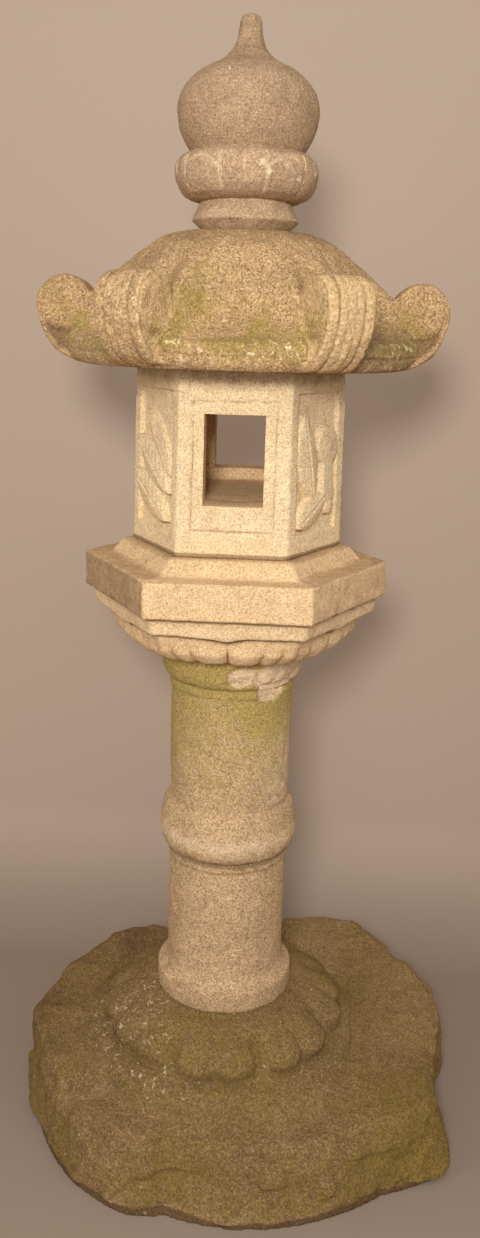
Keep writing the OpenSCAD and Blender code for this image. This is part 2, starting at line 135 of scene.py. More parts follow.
sweep_line = [(-SWEEP_HALF, -SWEEP_HALF, 0), (-SWEEP_HALF, SWEEP_BACK - SWEEP_CURVE, 0)]
for i in range(1, SWEEP_STEPS + 1):
    turn = math.pi / 2 * i / SWEEP_STEPS
    sweep_line.append((-SWEEP_HALF, SWEEP_BACK - SWEEP_CURVE + SWEEP_CURVE * math.sin(turn),
                       SWEEP_CURVE - SWEEP_CURVE * math.cos(turn)))
sweep_line.append((-SWEEP_HALF, SWEEP_BACK, SWEEP_TOP))
sweep = chain("sweep", sweep_line)
bpy.ops.mesh.extrude_region_move(TRANSFORM_OT_translate={"value": (2 * SWEEP_HALF, 0, 0)})
bpy.ops.mesh.select_all(action="SELECT")
bpy.ops.mesh.normals_make_consistent(inside=False)
bpy.ops.object.mode_set(mode="OBJECT")
# The paper's good side is the one that faces up on the floor
if sum(face.normal.z * face.area for face in sweep.data.polygons) < 0:
    sweep.data.flip_normals()
bpy.ops.object.shade_smooth()
paper = bpy.data.materials.new("paper")
paper.use_nodes = True
paper_nodes = paper.node_tree.nodes
paper_links = paper.node_tree.links
paper_face = paper_nodes["Principled BSDF"]
paper_face.inputs["Roughness"].default_value = 0.9
paper_face.inputs["Specular IOR Level"].default_value = 0.1
from_behind = paper_nodes.new("ShaderNodeNewGeometry").outputs["Backfacing"]
clear = paper_nodes.new("ShaderNodeBsdfTransparent")
either = paper_nodes.new("ShaderNodeMixShader")
paper_links.new(from_behind, either.inputs[0])
paper_links.new(paper_face.outputs[0], either.inputs[1])
paper_links.new(clear.outputs[0], either.inputs[2])
paper_links.new(either.outputs[0], paper_nodes["Material Output"].inputs["Surface"])
# Painted shade: the paper is darker on the floor and lightens up the curve
where = paper_nodes.new("ShaderNodeTexCoord").outputs["Object"]
split = paper_nodes.new("ShaderNodeSeparateXYZ")
paper_links.new(where, split.inputs[0])
shade = paper_nodes.new("ShaderNodeMapRange")
shade.interpolation_type = "SMOOTHSTEP"
shade.inputs["From Max"].default_value = SWEEP_CURVE
paper_links.new(split.outputs["Z"], shade.inputs["Value"])
tone = paper_nodes.new("ShaderNodeMix")
tone.data_type = "RGBA"
tone.inputs["A"].default_value = FLOOR_SHADE_COLOUR
tone.inputs["B"].default_value = SWEEP_COLOUR
paper_links.new(shade.outputs["Result"], tone.inputs["Factor"])
paper_links.new(tone.outputs["Result"], paper_face.inputs["Base Color"])
sweep.data.materials.append(paper)

# Base stone: a rough granite boulder bedded on the ground, its top dressed to a round seat with a
# turned-down lotus of eight double petals and a second ring of petals under them, all much worn.
# Moss has grown over most of it. The shaft's tenon stands in a round mortise in the seat.
MM = 0.001
# Edges sharper than this are not smoothed over
SHARP_ANGLE = 60
# Faces that bear on another stone are left flat to this depth
FLAT_DEPTH = 1.5
# A cutter goes past the face that it opens by this much
CUT_PAST = 20
ROUND_SIDES = 48
BASE_H = 236
SEAT_R = 128
TIP_R = 210
TIP_Z = 174
RIM_R = 246
RIM_Z = 154
ROUGH_Z = 142
ROUGH_TILT = 26
FRONT_LEAN = 56
BOULDER_R = 380
LOTUS_PETALS = 8
PETAL_TURN = -90
# Rough outline on plan: angle from +X and radius
BOULDER = [(0, 408), (9, 424), (21, 440), (33, 416), (51, 438), (60, 414), (69, 346), (90, 294),
           (114, 314), (129, 352), (147, 346), (156, 350), (180, 360), (204, 348), (231, 360),
           (249, 362), (258, 338), (273, 350), (303, 374), (318, 390), (333, 453), (342, 420),
           (351, 402), (360, 408)]
SHAFT_TENON_R = 46
MORTISE_R = 50
MORTISE_DEEP = 60


def ramp(value, low, high):
    """Soft step from 0 at low to 1 at high."""
    t = np.clip((value - low) / (high - low), 0, 1)
    return t * t * (3 - 2 * t)


def lumps(place, size, seed):
    """Smooth random field between -1 and 1 with lumps about size mm across."""
    grid = np.stack(place) / size + 31.7 * (seed + 1)
    cell = np.floor(grid).astype(np.int64)
    part = ramp(grid - cell, 0, 1)
    total = np.zeros(grid.shape[1])
    # Each corner of a cell has its own value, hashed from its place and the seed
    for corner in itertools.product((0, 1), repeat=3):
        weight = np.ones(grid.shape[1])
        mixed = np.full(grid.shape[1], seed * 7919 + 13, dtype=np.int64)
        for axis in range(3):
            weight *= part[axis] if corner[axis] else 1 - part[axis]
            mixed = (mixed * 1103515245 + (cell[axis] + corner[axis]) * 12345677 + 977) & 0x7FFFFFFF
            mixed ^= mixed >> 15
        total += weight * ((mixed * 48271 & 0xFFFFF) / 0x7FFFF - 1)
    return total


def rough(place, size, seed):
    """Three octaves of lumps, the largest about size mm across."""
    return (lumps(place, size, seed) + 0.5 * lumps(place, size / 2, seed + 1)
            + 0.25 * lumps(place, size / 4, seed + 2)) / 1.4


def finely(outline, step):
    """The outline with points added so that none are further apart than step."""
    points = [outline[0]]
    for (r0, z0), (r1, z1) in zip(outline, outline[1:]):
        count = max(1, math.ceil(math.hypot(r1 - r0, z1 - z0) / step))
        points += [(r0 + (r1 - r0) * i / count, z0 + (z1 - z0) * i / count) for i in range(1, count + 1)]
    return points


def arc(centre, rx, rz, start, end, count=10):
    """Points along an ellipse round a centre, angles in degrees."""
    angles = [math.radians(start + (end - start) * i / count) for i in range(count + 1)]
    return [(centre[0] + rx * math.cos(a), centre[1] + rz * math.sin(a)) for a in angles]


def turned(name, outline, steps):
    """A solid turned round the Z axis from an outline of radius and height in mm."""
    piece = chain(name, [(r * MM, 0, z * MM) for r, z in outline])
    bpy.ops.mesh.spin(steps=steps, angle=2 * math.pi, center=(0, 0, 0), axis=(0, 0, 1))
    bpy.ops.object.mode_set(mode="OBJECT")
    finish_mesh(piece)
    return piece


def post(name, sides, r_foot, r_top, z_foot, z_top):
    """An upright prism, or part of a pyramid, with its first corner on +X."""
    bpy.ops.object.select_all(action="DESELECT")
    bpy.ops.mesh.primitive_cone_add(vertices=sides, radius1=r_foot * MM, radius2=r_top * MM,
                                    depth=(z_top - z_foot) * MM, location=(0, 0, (z_foot + z_top) / 2 * MM),
                                    rotation=(0, 0, -math.pi / 2))
    piece = bpy.context.object
    piece.name = name
    bpy.ops.object.transform_apply(location=True, rotation=True, scale=True)
    return piece


def use_modifier(piece, kind, **settings):
    """Adds a modifier, sets it and applies it."""
    modifier = piece.modifiers.new(kind.lower(), kind)
    for key, value in settings.items():
        setattr(modifier, key, value)
    bpy.context.view_layer.objects.active = piece
    bpy.ops.object.modifier_apply(modifier=modifier.name)


def cut(piece, cutter):
    """Cuts one solid out of another and removes the cutter."""
    use_modifier(piece, "BOOLEAN", operation="DIFFERENCE", solver="EXACT", object=cutter)
    bpy.data.objects.remove(cutter)


def mortise(piece, r, z_low, z_high):
    """Cuts a round mortise into a piece."""
    cut(piece, post("mortise", ROUND_SIDES, r, r, z_low, z_high))


def join(piece, others):
    """Joins other objects into a piece."""
    bpy.ops.object.select_all(action="DESELECT")
    for other in others:
        other.select_set(True)
    piece.select_set(True)
    bpy.context.view_layer.objects.active = piece
    bpy.ops.object.join()
    piece.select_set(False)


def weather(piece, voxel, rounds):
    """Makes one even skin of a piece's solids and rounds its edges by a little wear."""
    use_modifier(piece, "REMESH", mode="VOXEL", voxel_size=voxel * MM)
    use_modifier(piece, "SMOOTH", factor=0.5, iterations=rounds)


def places(piece):
    """Coordinates of a piece's vertices in mm, and their normals."""
    count = len(piece.data.vertices)
    flat = np.empty(count * 3)
    piece.data.vertices.foreach_get("co", flat)
    place = flat.reshape(-1, 3).T / MM
    piece.data.vertices.foreach_get("normal", flat)
    return place.copy(), flat.reshape(-1, 3).T.copy()


def put(piece, place):
    """Moves a piece's vertices to coordinates in mm."""
    piece.data.vertices.foreach_set("co", (place.T * MM).ravel())
    piece.data.update()


def carve(piece, place, normal, height):
    """Raises or cuts a piece's skin along its normals by a height in mm."""
    put(piece, place + normal * height)


def paint(piece, name, values):
    """Stores a mask between 0 and 1 on a piece's vertices."""
    layer = piece.data.attributes.new(name, "FLOAT", "POINT")
    layer.data.foreach_set("value", np.clip(values, 0, 1).astype(np.float32))


def round_about(place):
    """Distance from the axis, and the angle from +X in degrees."""
    return np.hypot(place[0], place[1]), np.degrees(np.arctan2(place[1], place[0]))


# Layers painted over the grains: mask, size and spread of its ragged edge, where it starts and is full,
# and how dark its own grains are
LAYERS = [
    ("worn_and_lit", 18, 1.0, 0.35, 0.7, 0.55),
    ("dirt_and_shade", 20, 0.7, 0.25, 0.8, 0.55),
    ("moss", 16, 1.2, 0.2, 0.95, 0.5),
]
LAYER_COVER = 0.8


def granite(name, stone, grain_dark, grain_pale, moss, dirt_and_shade, worn_and_lit, lichen=(0.82, 0.66, 0.42), grain=1.0,
            bump=0.5):
    """Weathered granite: mixed grains under wear and painted light, dirt and painted shade, moss and lichen
    that are painted on the piece.
    """
    material = bpy.data.materials.new(name)
    material.use_nodes = True
    nodes = material.node_tree.nodes
    links = material.node_tree.links
    shader = nodes["Principled BSDF"]
    where = nodes.new("ShaderNodeTexCoord").outputs["Object"]

    def texture(kind, size, **values):
        """A texture with features about size mm across."""
        node = nodes.new(kind)
        links.new(where, node.inputs["Vector"])
        node.inputs["Scale"].default_value = 1000 / size
        for key, value in values.items():
            node.inputs[key].default_value = value
        return node

    def stepped(value, low, high):
        node = nodes.new("ShaderNodeMapRange")
        node.interpolation_type = "SMOOTHSTEP"
        links.new(value, node.inputs["Value"])
        node.inputs["From Min"].default_value = low
        node.inputs["From Max"].default_value = high
        return node.outputs["Result"]

    def reckon(operation, a, b):
        node = nodes.new("ShaderNodeMath")
        node.operation = operation
        for socket, value in zip(node.inputs, (a, b)):
            if isinstance(value, float):
                socket.default_value = value
            else:
                links.new(value, socket)
        return node.outputs[0]

    def mixed(base, colour, share):
        node = nodes.new("ShaderNodeMix")
        node.data_type = "RGBA"
        links.new(share, node.inputs["Factor"])
        for socket, value in ((node.inputs["A"], base), (node.inputs["B"], colour)):
            if isinstance(value, tuple):
                socket.default_value = (*value, 1)
            else:
                links.new(value, socket)
        return node.outputs["Result"]

    def mask(attribute, size, spread, low, high):
        """A painted mask broken up by noise."""
        node = nodes.new("ShaderNodeAttribute")
        node.attribute_name = attribute
        noise = texture("ShaderNodeTexNoise", size, Detail=7.0, Roughness=0.72)
        ragged = reckon("MULTIPLY", reckon("SUBTRACT", noise.outputs["Fac"], 0.5), spread)
        return stepped(reckon("ADD", node.outputs["Fac"], ragged), low, high)

    # Grains of feldspar, quartz and mica one to three millimetres across
    cells = texture("ShaderNodeTexVoronoi", 1.8 * grain, Randomness=1.0)
    pick = nodes.new("ShaderNodeSeparateColor")
    links.new(cells.outputs["Color"], pick.inputs["Color"])
    fine = texture("ShaderNodeTexNoise", 3.2 * grain, Detail=4.0, Roughness=0.7)
    patchy = texture("ShaderNodeTexNoise", 24.0, Detail=6.0, Roughness=0.7)
    broad = texture("ShaderNodeTexNoise", 110.0, Detail=4.0, Roughness=0.6)
    colour = mixed(stone, grain_pale, reckon("MULTIPLY", stepped(pick.outputs["Red"], 0.40, 0.95), 0.75))
    for speckle, low, high, share in ((pick.outputs["Green"], 0.70, 0.95, 0.55),
                                      (fine.outputs["Fac"], 0.46, 0.66, 0.6),
                                      (patchy.outputs["Fac"], 0.46, 0.70, 0.26),
                                      (broad.outputs["Fac"], 0.42, 0.70, 0.16)):
        colour = mixed(colour, grain_dark, reckon("MULTIPLY", stepped(speckle, low, high), share))
    # Worn stone and painted light, dirt and painted shade in the hollows, then moss and small spots of pale
    # lichen
    grainy = stepped(fine.outputs["Fac"], 0.36, 0.64)
    for (layer, size, spread, low, high, shade), tone in zip(LAYERS, (worn_and_lit, dirt_and_shade, moss)):
        grained = mixed(tone, tuple(shade * c for c in tone), grainy)
        cover = reckon("MULTIPLY", mask(layer, size, spread, low, high), LAYER_COVER)
        colour = mixed(colour, grained, cover)
    colour = mixed(colour, lichen, reckon("MULTIPLY", mask("lichen", 11, 1.7, 0.47, 0.56), LAYER_COVER))
    links.new(colour, shader.inputs["Base Color"])
    shader.inputs["Roughness"].default_value = 0.9
    shader.inputs["Specular IOR Level"].default_value = 0.2

    pits = nodes.new("ShaderNodeBump")
    pits.inputs["Strength"].default_value = bump
    pits.inputs["Distance"].default_value = 0.003
    height = reckon("ADD", fine.outputs["Fac"], reckon("MULTIPLY", patchy.outputs["Fac"], 1.2))
    links.new(height, pits.inputs["Height"])
    links.new(pits.outputs["Normal"], shader.inputs["Normal"])
    return material


def hand_over(piece, material, node, body):
    """Gives a finished stone its material and says which CAD part it stands for."""
    bpy.context.view_layer.objects.active = piece
    piece.select_set(True)
    bpy.ops.object.shade_smooth_by_angle(angle=math.radians(SHARP_ANGLE))
    piece.select_set(False)
    piece.data.materials.clear()
    piece.data.materials.append(material)
    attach(piece, body)
    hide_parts(node)


rough_r = RIM_R + 12
base_outline = [(0, BASE_H), (SEAT_R, BASE_H), (150, 226), (172, 210), (192, 194), (204, 182),
                (TIP_R, TIP_Z), (TIP_R + 3, TIP_Z - 6), (RIM_R - 12, RIM_Z + 8), (RIM_R, RIM_Z),
                (rough_r, ROUGH_Z), (300, 140), (360, 139), (371, 130), (377, 98),
                (BOULDER_R, 60), (BOULDER_R, 22), (374, 10), (372, 0), (0, 0)]
base = turned("base_granite", finely(base_outline, step=8), steps=180)
# The turned blank is drawn out to the boulder's plan, which leans back at the front. Its top falls
# towards the front and rises at the back right.
place, normal = places(base)
radius, angle = round_about(place)
linear = np.clip((radius - rough_r) / (BOULDER_R - rough_r), 0, 1)
edge = np.interp(angle % 360, *zip(*BOULDER))
facing = np.sin(np.radians(angle))
high = np.clip(place[2] / ROUGH_Z, 0, 1)
edge -= FRONT_LEAN * high * np.maximum(0, -facing)
edge = np.maximum(edge, rough_r + 12)
reach = np.where(radius > rough_r, rough_r + linear * (edge - rough_r), radius)
scale = reach / np.maximum(radius, 1)
place[0] *= scale
place[1] *= scale
back_right = np.exp(-((angle - 52) / 30) ** 2)
place[2] += (ROUGH_TILT * facing + 14 * back_right) * np.sqrt(linear) * high
put(base, place)
mortise(base, MORTISE_R, BASE_H - MORTISE_DEEP, BASE_H + CUT_PAST)
weather(base, voxel=4.0, rounds=2)

place, normal = places(base)
radius, angle = round_about(place)
on_lotus = (1 - ramp(radius, RIM_R - 4, RIM_R + 22)) * ramp(place[2], 120, 140)
wild = (1 - on_lotus) * ramp(place[2], 2, 14)
half_petal = 180 / LOTUS_PETALS
petal = (angle - PETAL_TURN + half_petal) % (2 * half_petal) / half_petal - 1
under = (angle - PETAL_TURN) % (2 * half_petal) / half_petal - 1
along = np.clip((radius - SEAT_R) / (TIP_R - SEAT_R), 0, 1)
decay = 0.8 + 0.25 * lumps(place, 80, 2) + 0.2 * ramp(place[0], -120, 60)
# Each petal swells to two puffed lobes at its tip and has worn away towards the seat
tip = TIP_R + 1 - 13 * petal ** 4 - 6 * np.exp(-(petal / 0.16) ** 2)
ragged = 3 * lumps(place, 30, 3)
near_tip = ramp(along, 0.25, 0.8)
between = ramp(np.abs(petal) + 0.05 * lumps(place, 40, 4), 0.80, 0.98) * near_tip
inside = (1 - between) * ramp(tip - radius + ragged, -5, 5)
puff = np.sqrt(np.maximum(0, 1 - ((np.abs(petal) - 0.43) / 0.44) ** 2)) * near_tip
second_tip = RIM_R - 2 - 10 * np.abs(under) ** 3
second = ramp(second_tip - radius + ragged, -4, 4)
lotus = decay * (4 * inside + 12 * puff * inside + 6 * second) - 7
lotus *= ramp(radius, SEAT_R + 2, SEAT_R + 20)
lotus += 1.8 * rough(place, 34, 5) + 0.7 * lumps(place, 9, 6)
# Broken stone meets in ridges, with a few ledges low down
ridges = 1 - 2 * np.abs(lumps(place, 130, 11))
flakes = 1 - 2 * np.abs(lumps(place, 60, 15))
splits = 1 - 2 * np.abs(lumps(place, 26, 19))
ledge = ramp(lumps(place, 75, 17), 0.05, 0.14) * ramp(place[2], 118, 60)
steep = ramp(normal[2], 0.9, 0.5)
boulder = 7 * rough(place, 170, 21) + 5 * ridges + (1.5 + 3 * steep) * flakes + (0.7 + 2 * steep) * splits
boulder += 1.4 * rough(place, 22, 25) + 0.8 * lumps(place, 8, 28) - 7 * ledge - 5
seat = ramp(place[2], BASE_H - 3, BASE_H - 1) * (radius < SEAT_R + 2)
in_mortise = (radius < MORTISE_R + 3) & (place[2] > 100)
height = (on_lotus * lotus + wild * boulder) * (1 - seat) * ~in_mortise * (place[2] > 1)
carve(base, place, normal, height)
place, normal = places(base)
place[2] = np.maximum(place[2], 0)
put(base, place)
front_low = ramp(place[2], 120, 50) * (normal[2] < 0.75)
under_tip_shade = np.exp(-((radius - tip - 5) / 6) ** 2) * (1 - between) * on_lotus
# The lowest edge is painted dark, partly a stain from the wet ground and partly painted shade of the gap
# under it, with paler chips above it
wet_and_gap_shade = ramp(place[2] + 3 * lumps(place, 40, 47), 14, 8)
chipped = ramp(place[2], 34, 16) * (normal[2] < 0.5) * (1 - wet_and_gap_shade)
paint(base, "moss", 0.46 + 0.16 * front_low + 0.3 * rough(place, 130, 41) + 0.12 * ramp(place[0], 0, 300)
      - 0.4 * ramp(place[2], 20, 4) - wet_and_gap_shade)
# Painted shade under the petal tips and in the clefts between the petals, with dirt over the rest
paint(base, "dirt_and_shade", 0.24 + 0.4 * under_tip_shade + 0.2 * between * on_lotus + 0.3 * rough(place, 90, 43)
      + 0.16 * ramp(place[0], -60, -260) + 1.2 * wet_and_gap_shade)
paint(base, "worn_and_lit", 0.26 + 0.3 * chipped + 0.25 * rough(place, 60, 45) + 0.14 * splits * wild
      + 0.8 * ramp(place[0], 60, 180) * ramp(place[1], -120, 40) * (normal[2] > 0.5))
paint(base, "lichen", 0.13 + 0.12 * on_lotus + 0.1 * (place[0] < -80) * (place[1] < 0))
base_granite = granite("base_granite", stone=(0.255, 0.148, 0.061), grain_dark=(0.072, 0.04, 0.016),
                       grain_pale=(0.46, 0.295, 0.135), moss=(0.28, 0.178, 0.031),
                       dirt_and_shade=(0.135, 0.072, 0.028), worn_and_lit=(0.43, 0.27, 0.12),
                       lichen=(0.62, 0.48, 0.30), grain=1.25, bump=0.9)
hand_over(base, base_granite, "base_stone", "base")

# Shaft: a round granite post turned to a swelling foot, a middle ring and a cap, each ring with a thin
# band and a groove under it. Tenons at both ends stand in the base stone and in the platform.
# A large flake has come off the cap on the right of the front, and moss grows round the top.
SHAFT_Z = 236
SHAFT_H = 640
SHAFT_R = 102
FOOT_OUT = 18
FOOT_EDGE_H = 34
FOOT_CURVE_H = 28
MID_RING_Z = 272
MID_RING_H = 90
MID_RING_OUT = 17
RING_PEAK = 0.42 * MID_RING_H
BAND_H = 14
BAND_OUT = 3
CAP_H = 58
CAP_OUT = 17
TENON_H = 50
SPALL_ANGLE = -48
SPALL_Z = 842


def band_below(z):
    """Outline of the thin band and the groove below a ring of the shaft."""
    return [(SHAFT_R, z - BAND_H - BAND_OUT), (SHAFT_R + BAND_OUT, z - BAND_H),
            (SHAFT_R + BAND_OUT, z - BAND_OUT), (SHAFT_R, z)]


ring_z = MID_RING_Z + RING_PEAK
cap_foot = SHAFT_H - CAP_H
cap_curve = 0.62 * CAP_H
shaft_outline = (
    [(0, -TENON_H), (SHAFT_TENON_R, -TENON_H), (SHAFT_TENON_R, 0), (SHAFT_R + FOOT_OUT, 0)]
    + arc((SHAFT_R + FOOT_OUT, FOOT_EDGE_H + FOOT_CURVE_H), FOOT_OUT, FOOT_CURVE_H, 270, 180)
    + band_below(MID_RING_Z)
    + arc((SHAFT_R + BAND_OUT, ring_z), MID_RING_OUT - BAND_OUT, RING_PEAK - BAND_OUT, -90, 0)
    + arc((SHAFT_R, ring_z), MID_RING_OUT, MID_RING_H - RING_PEAK, 8, 90)
    + band_below(cap_foot)
    + arc((SHAFT_R, cap_foot + cap_curve), CAP_OUT, cap_curve, -80, 0)
    + [(SHAFT_R + CAP_OUT, SHAFT_H), (SHAFT_TENON_R, SHAFT_H), (SHAFT_TENON_R, SHAFT_H + TENON_H),
       (0, SHAFT_H + TENON_H)])
shaft = turned("shaft_granite", finely([(r, z + SHAFT_Z) for r, z in shaft_outline], step=3.5), steps=220)
use_modifier(shaft, "SMOOTH", factor=0.5, iterations=2)
place, normal = places(shaft)
radius, angle = round_about(place)
rise = place[2] - SHAFT_Z
skin = (radius > SHAFT_R - 6) & (np.abs(normal[2]) < 0.9)
spall = 1.1 - ((angle - SPALL_ANGLE) / 46) ** 2 - ((place[2] - SPALL_Z) / 28) ** 2
tongue = 1 - ((angle - SPALL_ANGLE + 2) / 17) ** 2 - ((place[2] - SPALL_Z + 26) / 26) ** 2
spall = ramp(np.maximum(spall, tongue) + 0.5 * rough(place, 30, 7), 0.1, 0.45)
dents = ramp(rough(place, 44, 9), 0.35, 0.7)
edges = (np.abs(rise - FOOT_EDGE_H) < 12) | (np.abs(rise - SHAFT_H) < 16) | (np.abs(rise - MID_RING_Z) < 20)
height = 1.2 * rough(place, 26, 2) + 0.6 * lumps(place, 7, 6)
pitted = lumps(place, 9, 10)
height -= spall * (7 + 2.5 * rough(place, 18, 8) + 2 * pitted + lumps(place, 6, 16))
height -= dents * np.where(edges, 3.5, 0.8)
carve(shaft, place, normal, height * skin)
place, normal = places(shaft)
upper_moss = ramp(rise, 240, 560) * (0.45 + 0.3 * rough(place, 80, 12) + 0.2 * ramp(angle, -80, -120))
bright_moss = 0.6 * np.exp(-((angle + 55) / 34) ** 2 - ((rise - 548) / 46) ** 2)
cap_moss = 0.44 * (rise > cap_foot - 6) * ramp(angle, -40, -70) * (angle > -150)
paint(shaft, "moss", (upper_moss + bright_moss + cap_moss + 0.10) * (1 - spall))
# Painted shade in the grooves under the rings, below the middle ring and in the pits of the spall, with
# dirt that is darker towards the foot
grooves = np.exp(-((rise - MID_RING_Z) / 5) ** 2) + np.exp(-((rise - cap_foot) / 5) ** 2)
under_ring_shade = ramp(rise, 110, MID_RING_Z) * (rise < MID_RING_Z + 10) * 0.18
paint(shaft, "dirt_and_shade", 0.12 + 0.75 * grooves * (1 - spall) + under_ring_shade + 0.28 * ramp(rise, 90, 0)
      + 0.12 * rough(place, 60, 14) + 0.15 * spall * pitted)
on_ring = np.exp(-((rise - ring_z) / 26) ** 2)
paint(shaft, "worn_and_lit", 0.18 + 0.9 * spall + 0.4 * on_ring + 0.4 * ramp(angle, -80, -30) * (rise > 370))
paint(shaft, "lichen", 0.09 + 0.32 * spall + 0.08 * on_ring)
shaft_granite = granite("shaft_granite", stone=(0.61, 0.395, 0.205), grain_dark=(0.13, 0.078, 0.036),
                        grain_pale=(0.91, 0.65, 0.375), moss=(0.55, 0.40, 0.10),
                        dirt_and_shade=(0.30, 0.185, 0.09), worn_and_lit=(0.98, 0.70, 0.42), bump=0.7)
hand_over(shaft, shaft_granite, "shaft", "shaft")

# Platform: a six-sided granite slab on a bowl of carved petals, four lobes on each side and a narrow
# petal at each corner, with a sloped band under the slab. A low step on top carries the firebox.
# It stands on the shaft, whose upper tenon goes into a mortise in the bowl.
PLATFORM_Z = 876
SLAB_R = 249
SLAB_H = 58
BOWL_H = 59
BOWL_FOOT_R = 127
LOBE_CUT = 8
# Angles from the middle of a side to the clefts between the lobes
LOBE_EDGES = (0, 17.5, 26.5, 33.5)
LOWER_BAND_H = 26
BAND_BACK = 10
BAND_SLOPE = 17
STEP_H = 24
STEP_TOP_R = 184
STEP_SLOPE = 23
COS30 = math.cos(math.radians(30))


def hexagon(angles, rounding):
    """Radius of a hexagon with its sides 1 from the axis and a corner on +X, rounded towards a circle."""
    return rounding + (1 - rounding) / np.cos(np.radians(angles % 60 - 30))


slab_z = PLATFORM_Z + BOWL_H + LOWER_BAND_H
band_top = (SLAB_R - BAND_BACK) * COS30
band_foot = (SLAB_R - BAND_BACK - BAND_SLOPE) * COS30
bowl_top = band_foot - 0.4 * LOBE_CUT
# Share of the way out, share of the way up and roundness of the bowl
BOWL = [(0, 0, 1), (0.4, 0.07, 0.95), (0.68, 0.21, 0.75), (0.87, 0.43, 0.45), (0.97, 0.7, 0.2),
        (1, 0.92, 0.05)]
bowl_outline = [(BOWL_FOOT_R + (bowl_top - BOWL_FOOT_R) * share, PLATFORM_Z + BOWL_H * up)
                for share, up, _ in BOWL]
bowl_outline += [(band_foot, PLATFORM_Z + BOWL_H), (band_foot + 0.45 * (band_top - band_foot), slab_z - 12),
                 (band_top, slab_z + 1), (0, slab_z + 1)]
platform = turned("platform_granite", finely([(0, PLATFORM_Z)] + bowl_outline, step=4), steps=180)
place, normal = places(platform)
radius, angle = round_about(place)
rounding = np.interp(place[2] - PLATFORM_Z, [BOWL_H * up for _, up, _ in BOWL] + [BOWL_H],
                     [r for _, _, r in BOWL] + [0])
stretch = hexagon(angle, rounding)
place[0] *= stretch
place[1] *= stretch
put(platform, place)
slab = post("slab", 6, SLAB_R, SLAB_R, slab_z, slab_z + SLAB_H)
step_z = slab_z + SLAB_H
step = post("step", 6, STEP_TOP_R + STEP_SLOPE, STEP_TOP_R, step_z - 0.5, step_z + STEP_H)
mortise(platform, MORTISE_R, PLATFORM_Z - CUT_PAST, PLATFORM_Z + MORTISE_DEEP)
join(platform, [slab, step])
weather(platform, voxel=3.65, rounds=1)


def refine(piece, chosen):
    """Splits the chosen faces of a piece once each way."""
    piece.data.polygons.foreach_set("select", chosen)
    bpy.context.view_layer.objects.active = piece
    bpy.ops.object.mode_set(mode="EDIT")
    bpy.ops.mesh.select_mode(type="FACE")
    bpy.ops.mesh.subdivide(number_cuts=1)
    bpy.ops.object.mode_set(mode="OBJECT")


def face_centres(piece):
    """Centres of a piece's faces in mm."""
    flat = np.empty(len(piece.data.polygons) * 3)
    piece.data.polygons.foreach_get("center", flat)
    return flat.reshape(-1, 3).T / MM


centre = face_centres(platform)
under_slab = (centre[2] < slab_z - 2) & (centre[2] > PLATFORM_Z + 2)
refine(platform, under_slab & (np.hypot(*centre[:2]) > BOWL_FOOT_R))

place, normal = places(platform)
radius, angle = round_about(place)
from_side = angle % 60 - 30
rise = place[2] - PLATFORM_Z
away = np.abs(from_side)
full = np.zeros(len(rise))
for low, high in zip(LOBE_EDGES, LOBE_EDGES[1:]):
    lobe = (2 * (away + 0.8 * lumps(place, 40, 30)) - low - high) / (high - low)
    full = np.maximum(full, np.sqrt(np.maximum(0, 1 - lobe ** 2)))
# The petals are cut back under the band along a flat brace with a point in the middle of each side,
# and the clefts between them fade out towards it
brace = BOWL_H + 1 - 8 * np.exp(-away / 8) + 1.2 * lumps(place, 30, 32)
on_bowl = ramp(rise, 2, 8) * (1 - ramp(rise, brace - 5, brace - 1)) * (radius > BOWL_FOOT_R)
under_brace = np.exp(-((rise - brace + 4) / 4) ** 2)
bowl_part = (normal[2] < 0.35) & (radius > BOWL_FOOT_R - 4)
low_bowl = ramp(rise, 0.75 * BOWL_H, 0.3 * BOWL_H)
height = bowl_part * (on_bowl * (5 - 1.3 * LOBE_CUT * low_bowl * (1 - full ** 0.7)) - 12 * under_brace)
height -= bowl_part * on_bowl * 9 * ramp(rise, 0.3 * BOWL_H, 0.85 * BOWL_H)
# The band stands out over them at its lower edge
height += 9 * ramp(rise, slab_z - PLATFORM_Z, brace) * ramp(rise, brace - 1, brace + 1) * (normal[2] < 0.35)
chips = ramp(rough(place, 46, 31), 0.36, 0.75)
slab_edge = np.exp(-((place[2] - slab_z) / 10) ** 2) + np.exp(-((place[2] - step_z) / 10) ** 2)
slab_edge *= radius > SLAB_R * COS30 - 8
corner = ramp(away, 26, 30) * (radius > SLAB_R - 18)
height -= chips * (4 * slab_edge + 4 * corner)
height += 0.9 * rough(place, 28, 33) + 0.5 * lumps(place, 8, 35)
bearing = (rise < FLAT_DEPTH) | (rise > BOWL_H + LOWER_BAND_H + SLAB_H + STEP_H - FLAT_DEPTH)
in_mortise = (radius < MORTISE_R + 3) & (rise < MORTISE_DEEP + 6)
carve(platform, place, normal, height * ~bearing * ~in_mortise)
place, normal = places(platform)
front_side = np.abs(angle + 90) < 31
on_slab = rise > BOWL_H + LOWER_BAND_H
on_band = (rise > brace + 2) & ~on_slab & (normal[2] < 0.5)
side_dirt = on_slab * ~front_side * (normal[2] < 0.5) * np.where(place[0] > 0, 0.32, 0.62)
top_dirt = np.where(front_side, 0.2, 0.42) * ramp(normal[2], 0.5, 0.8)
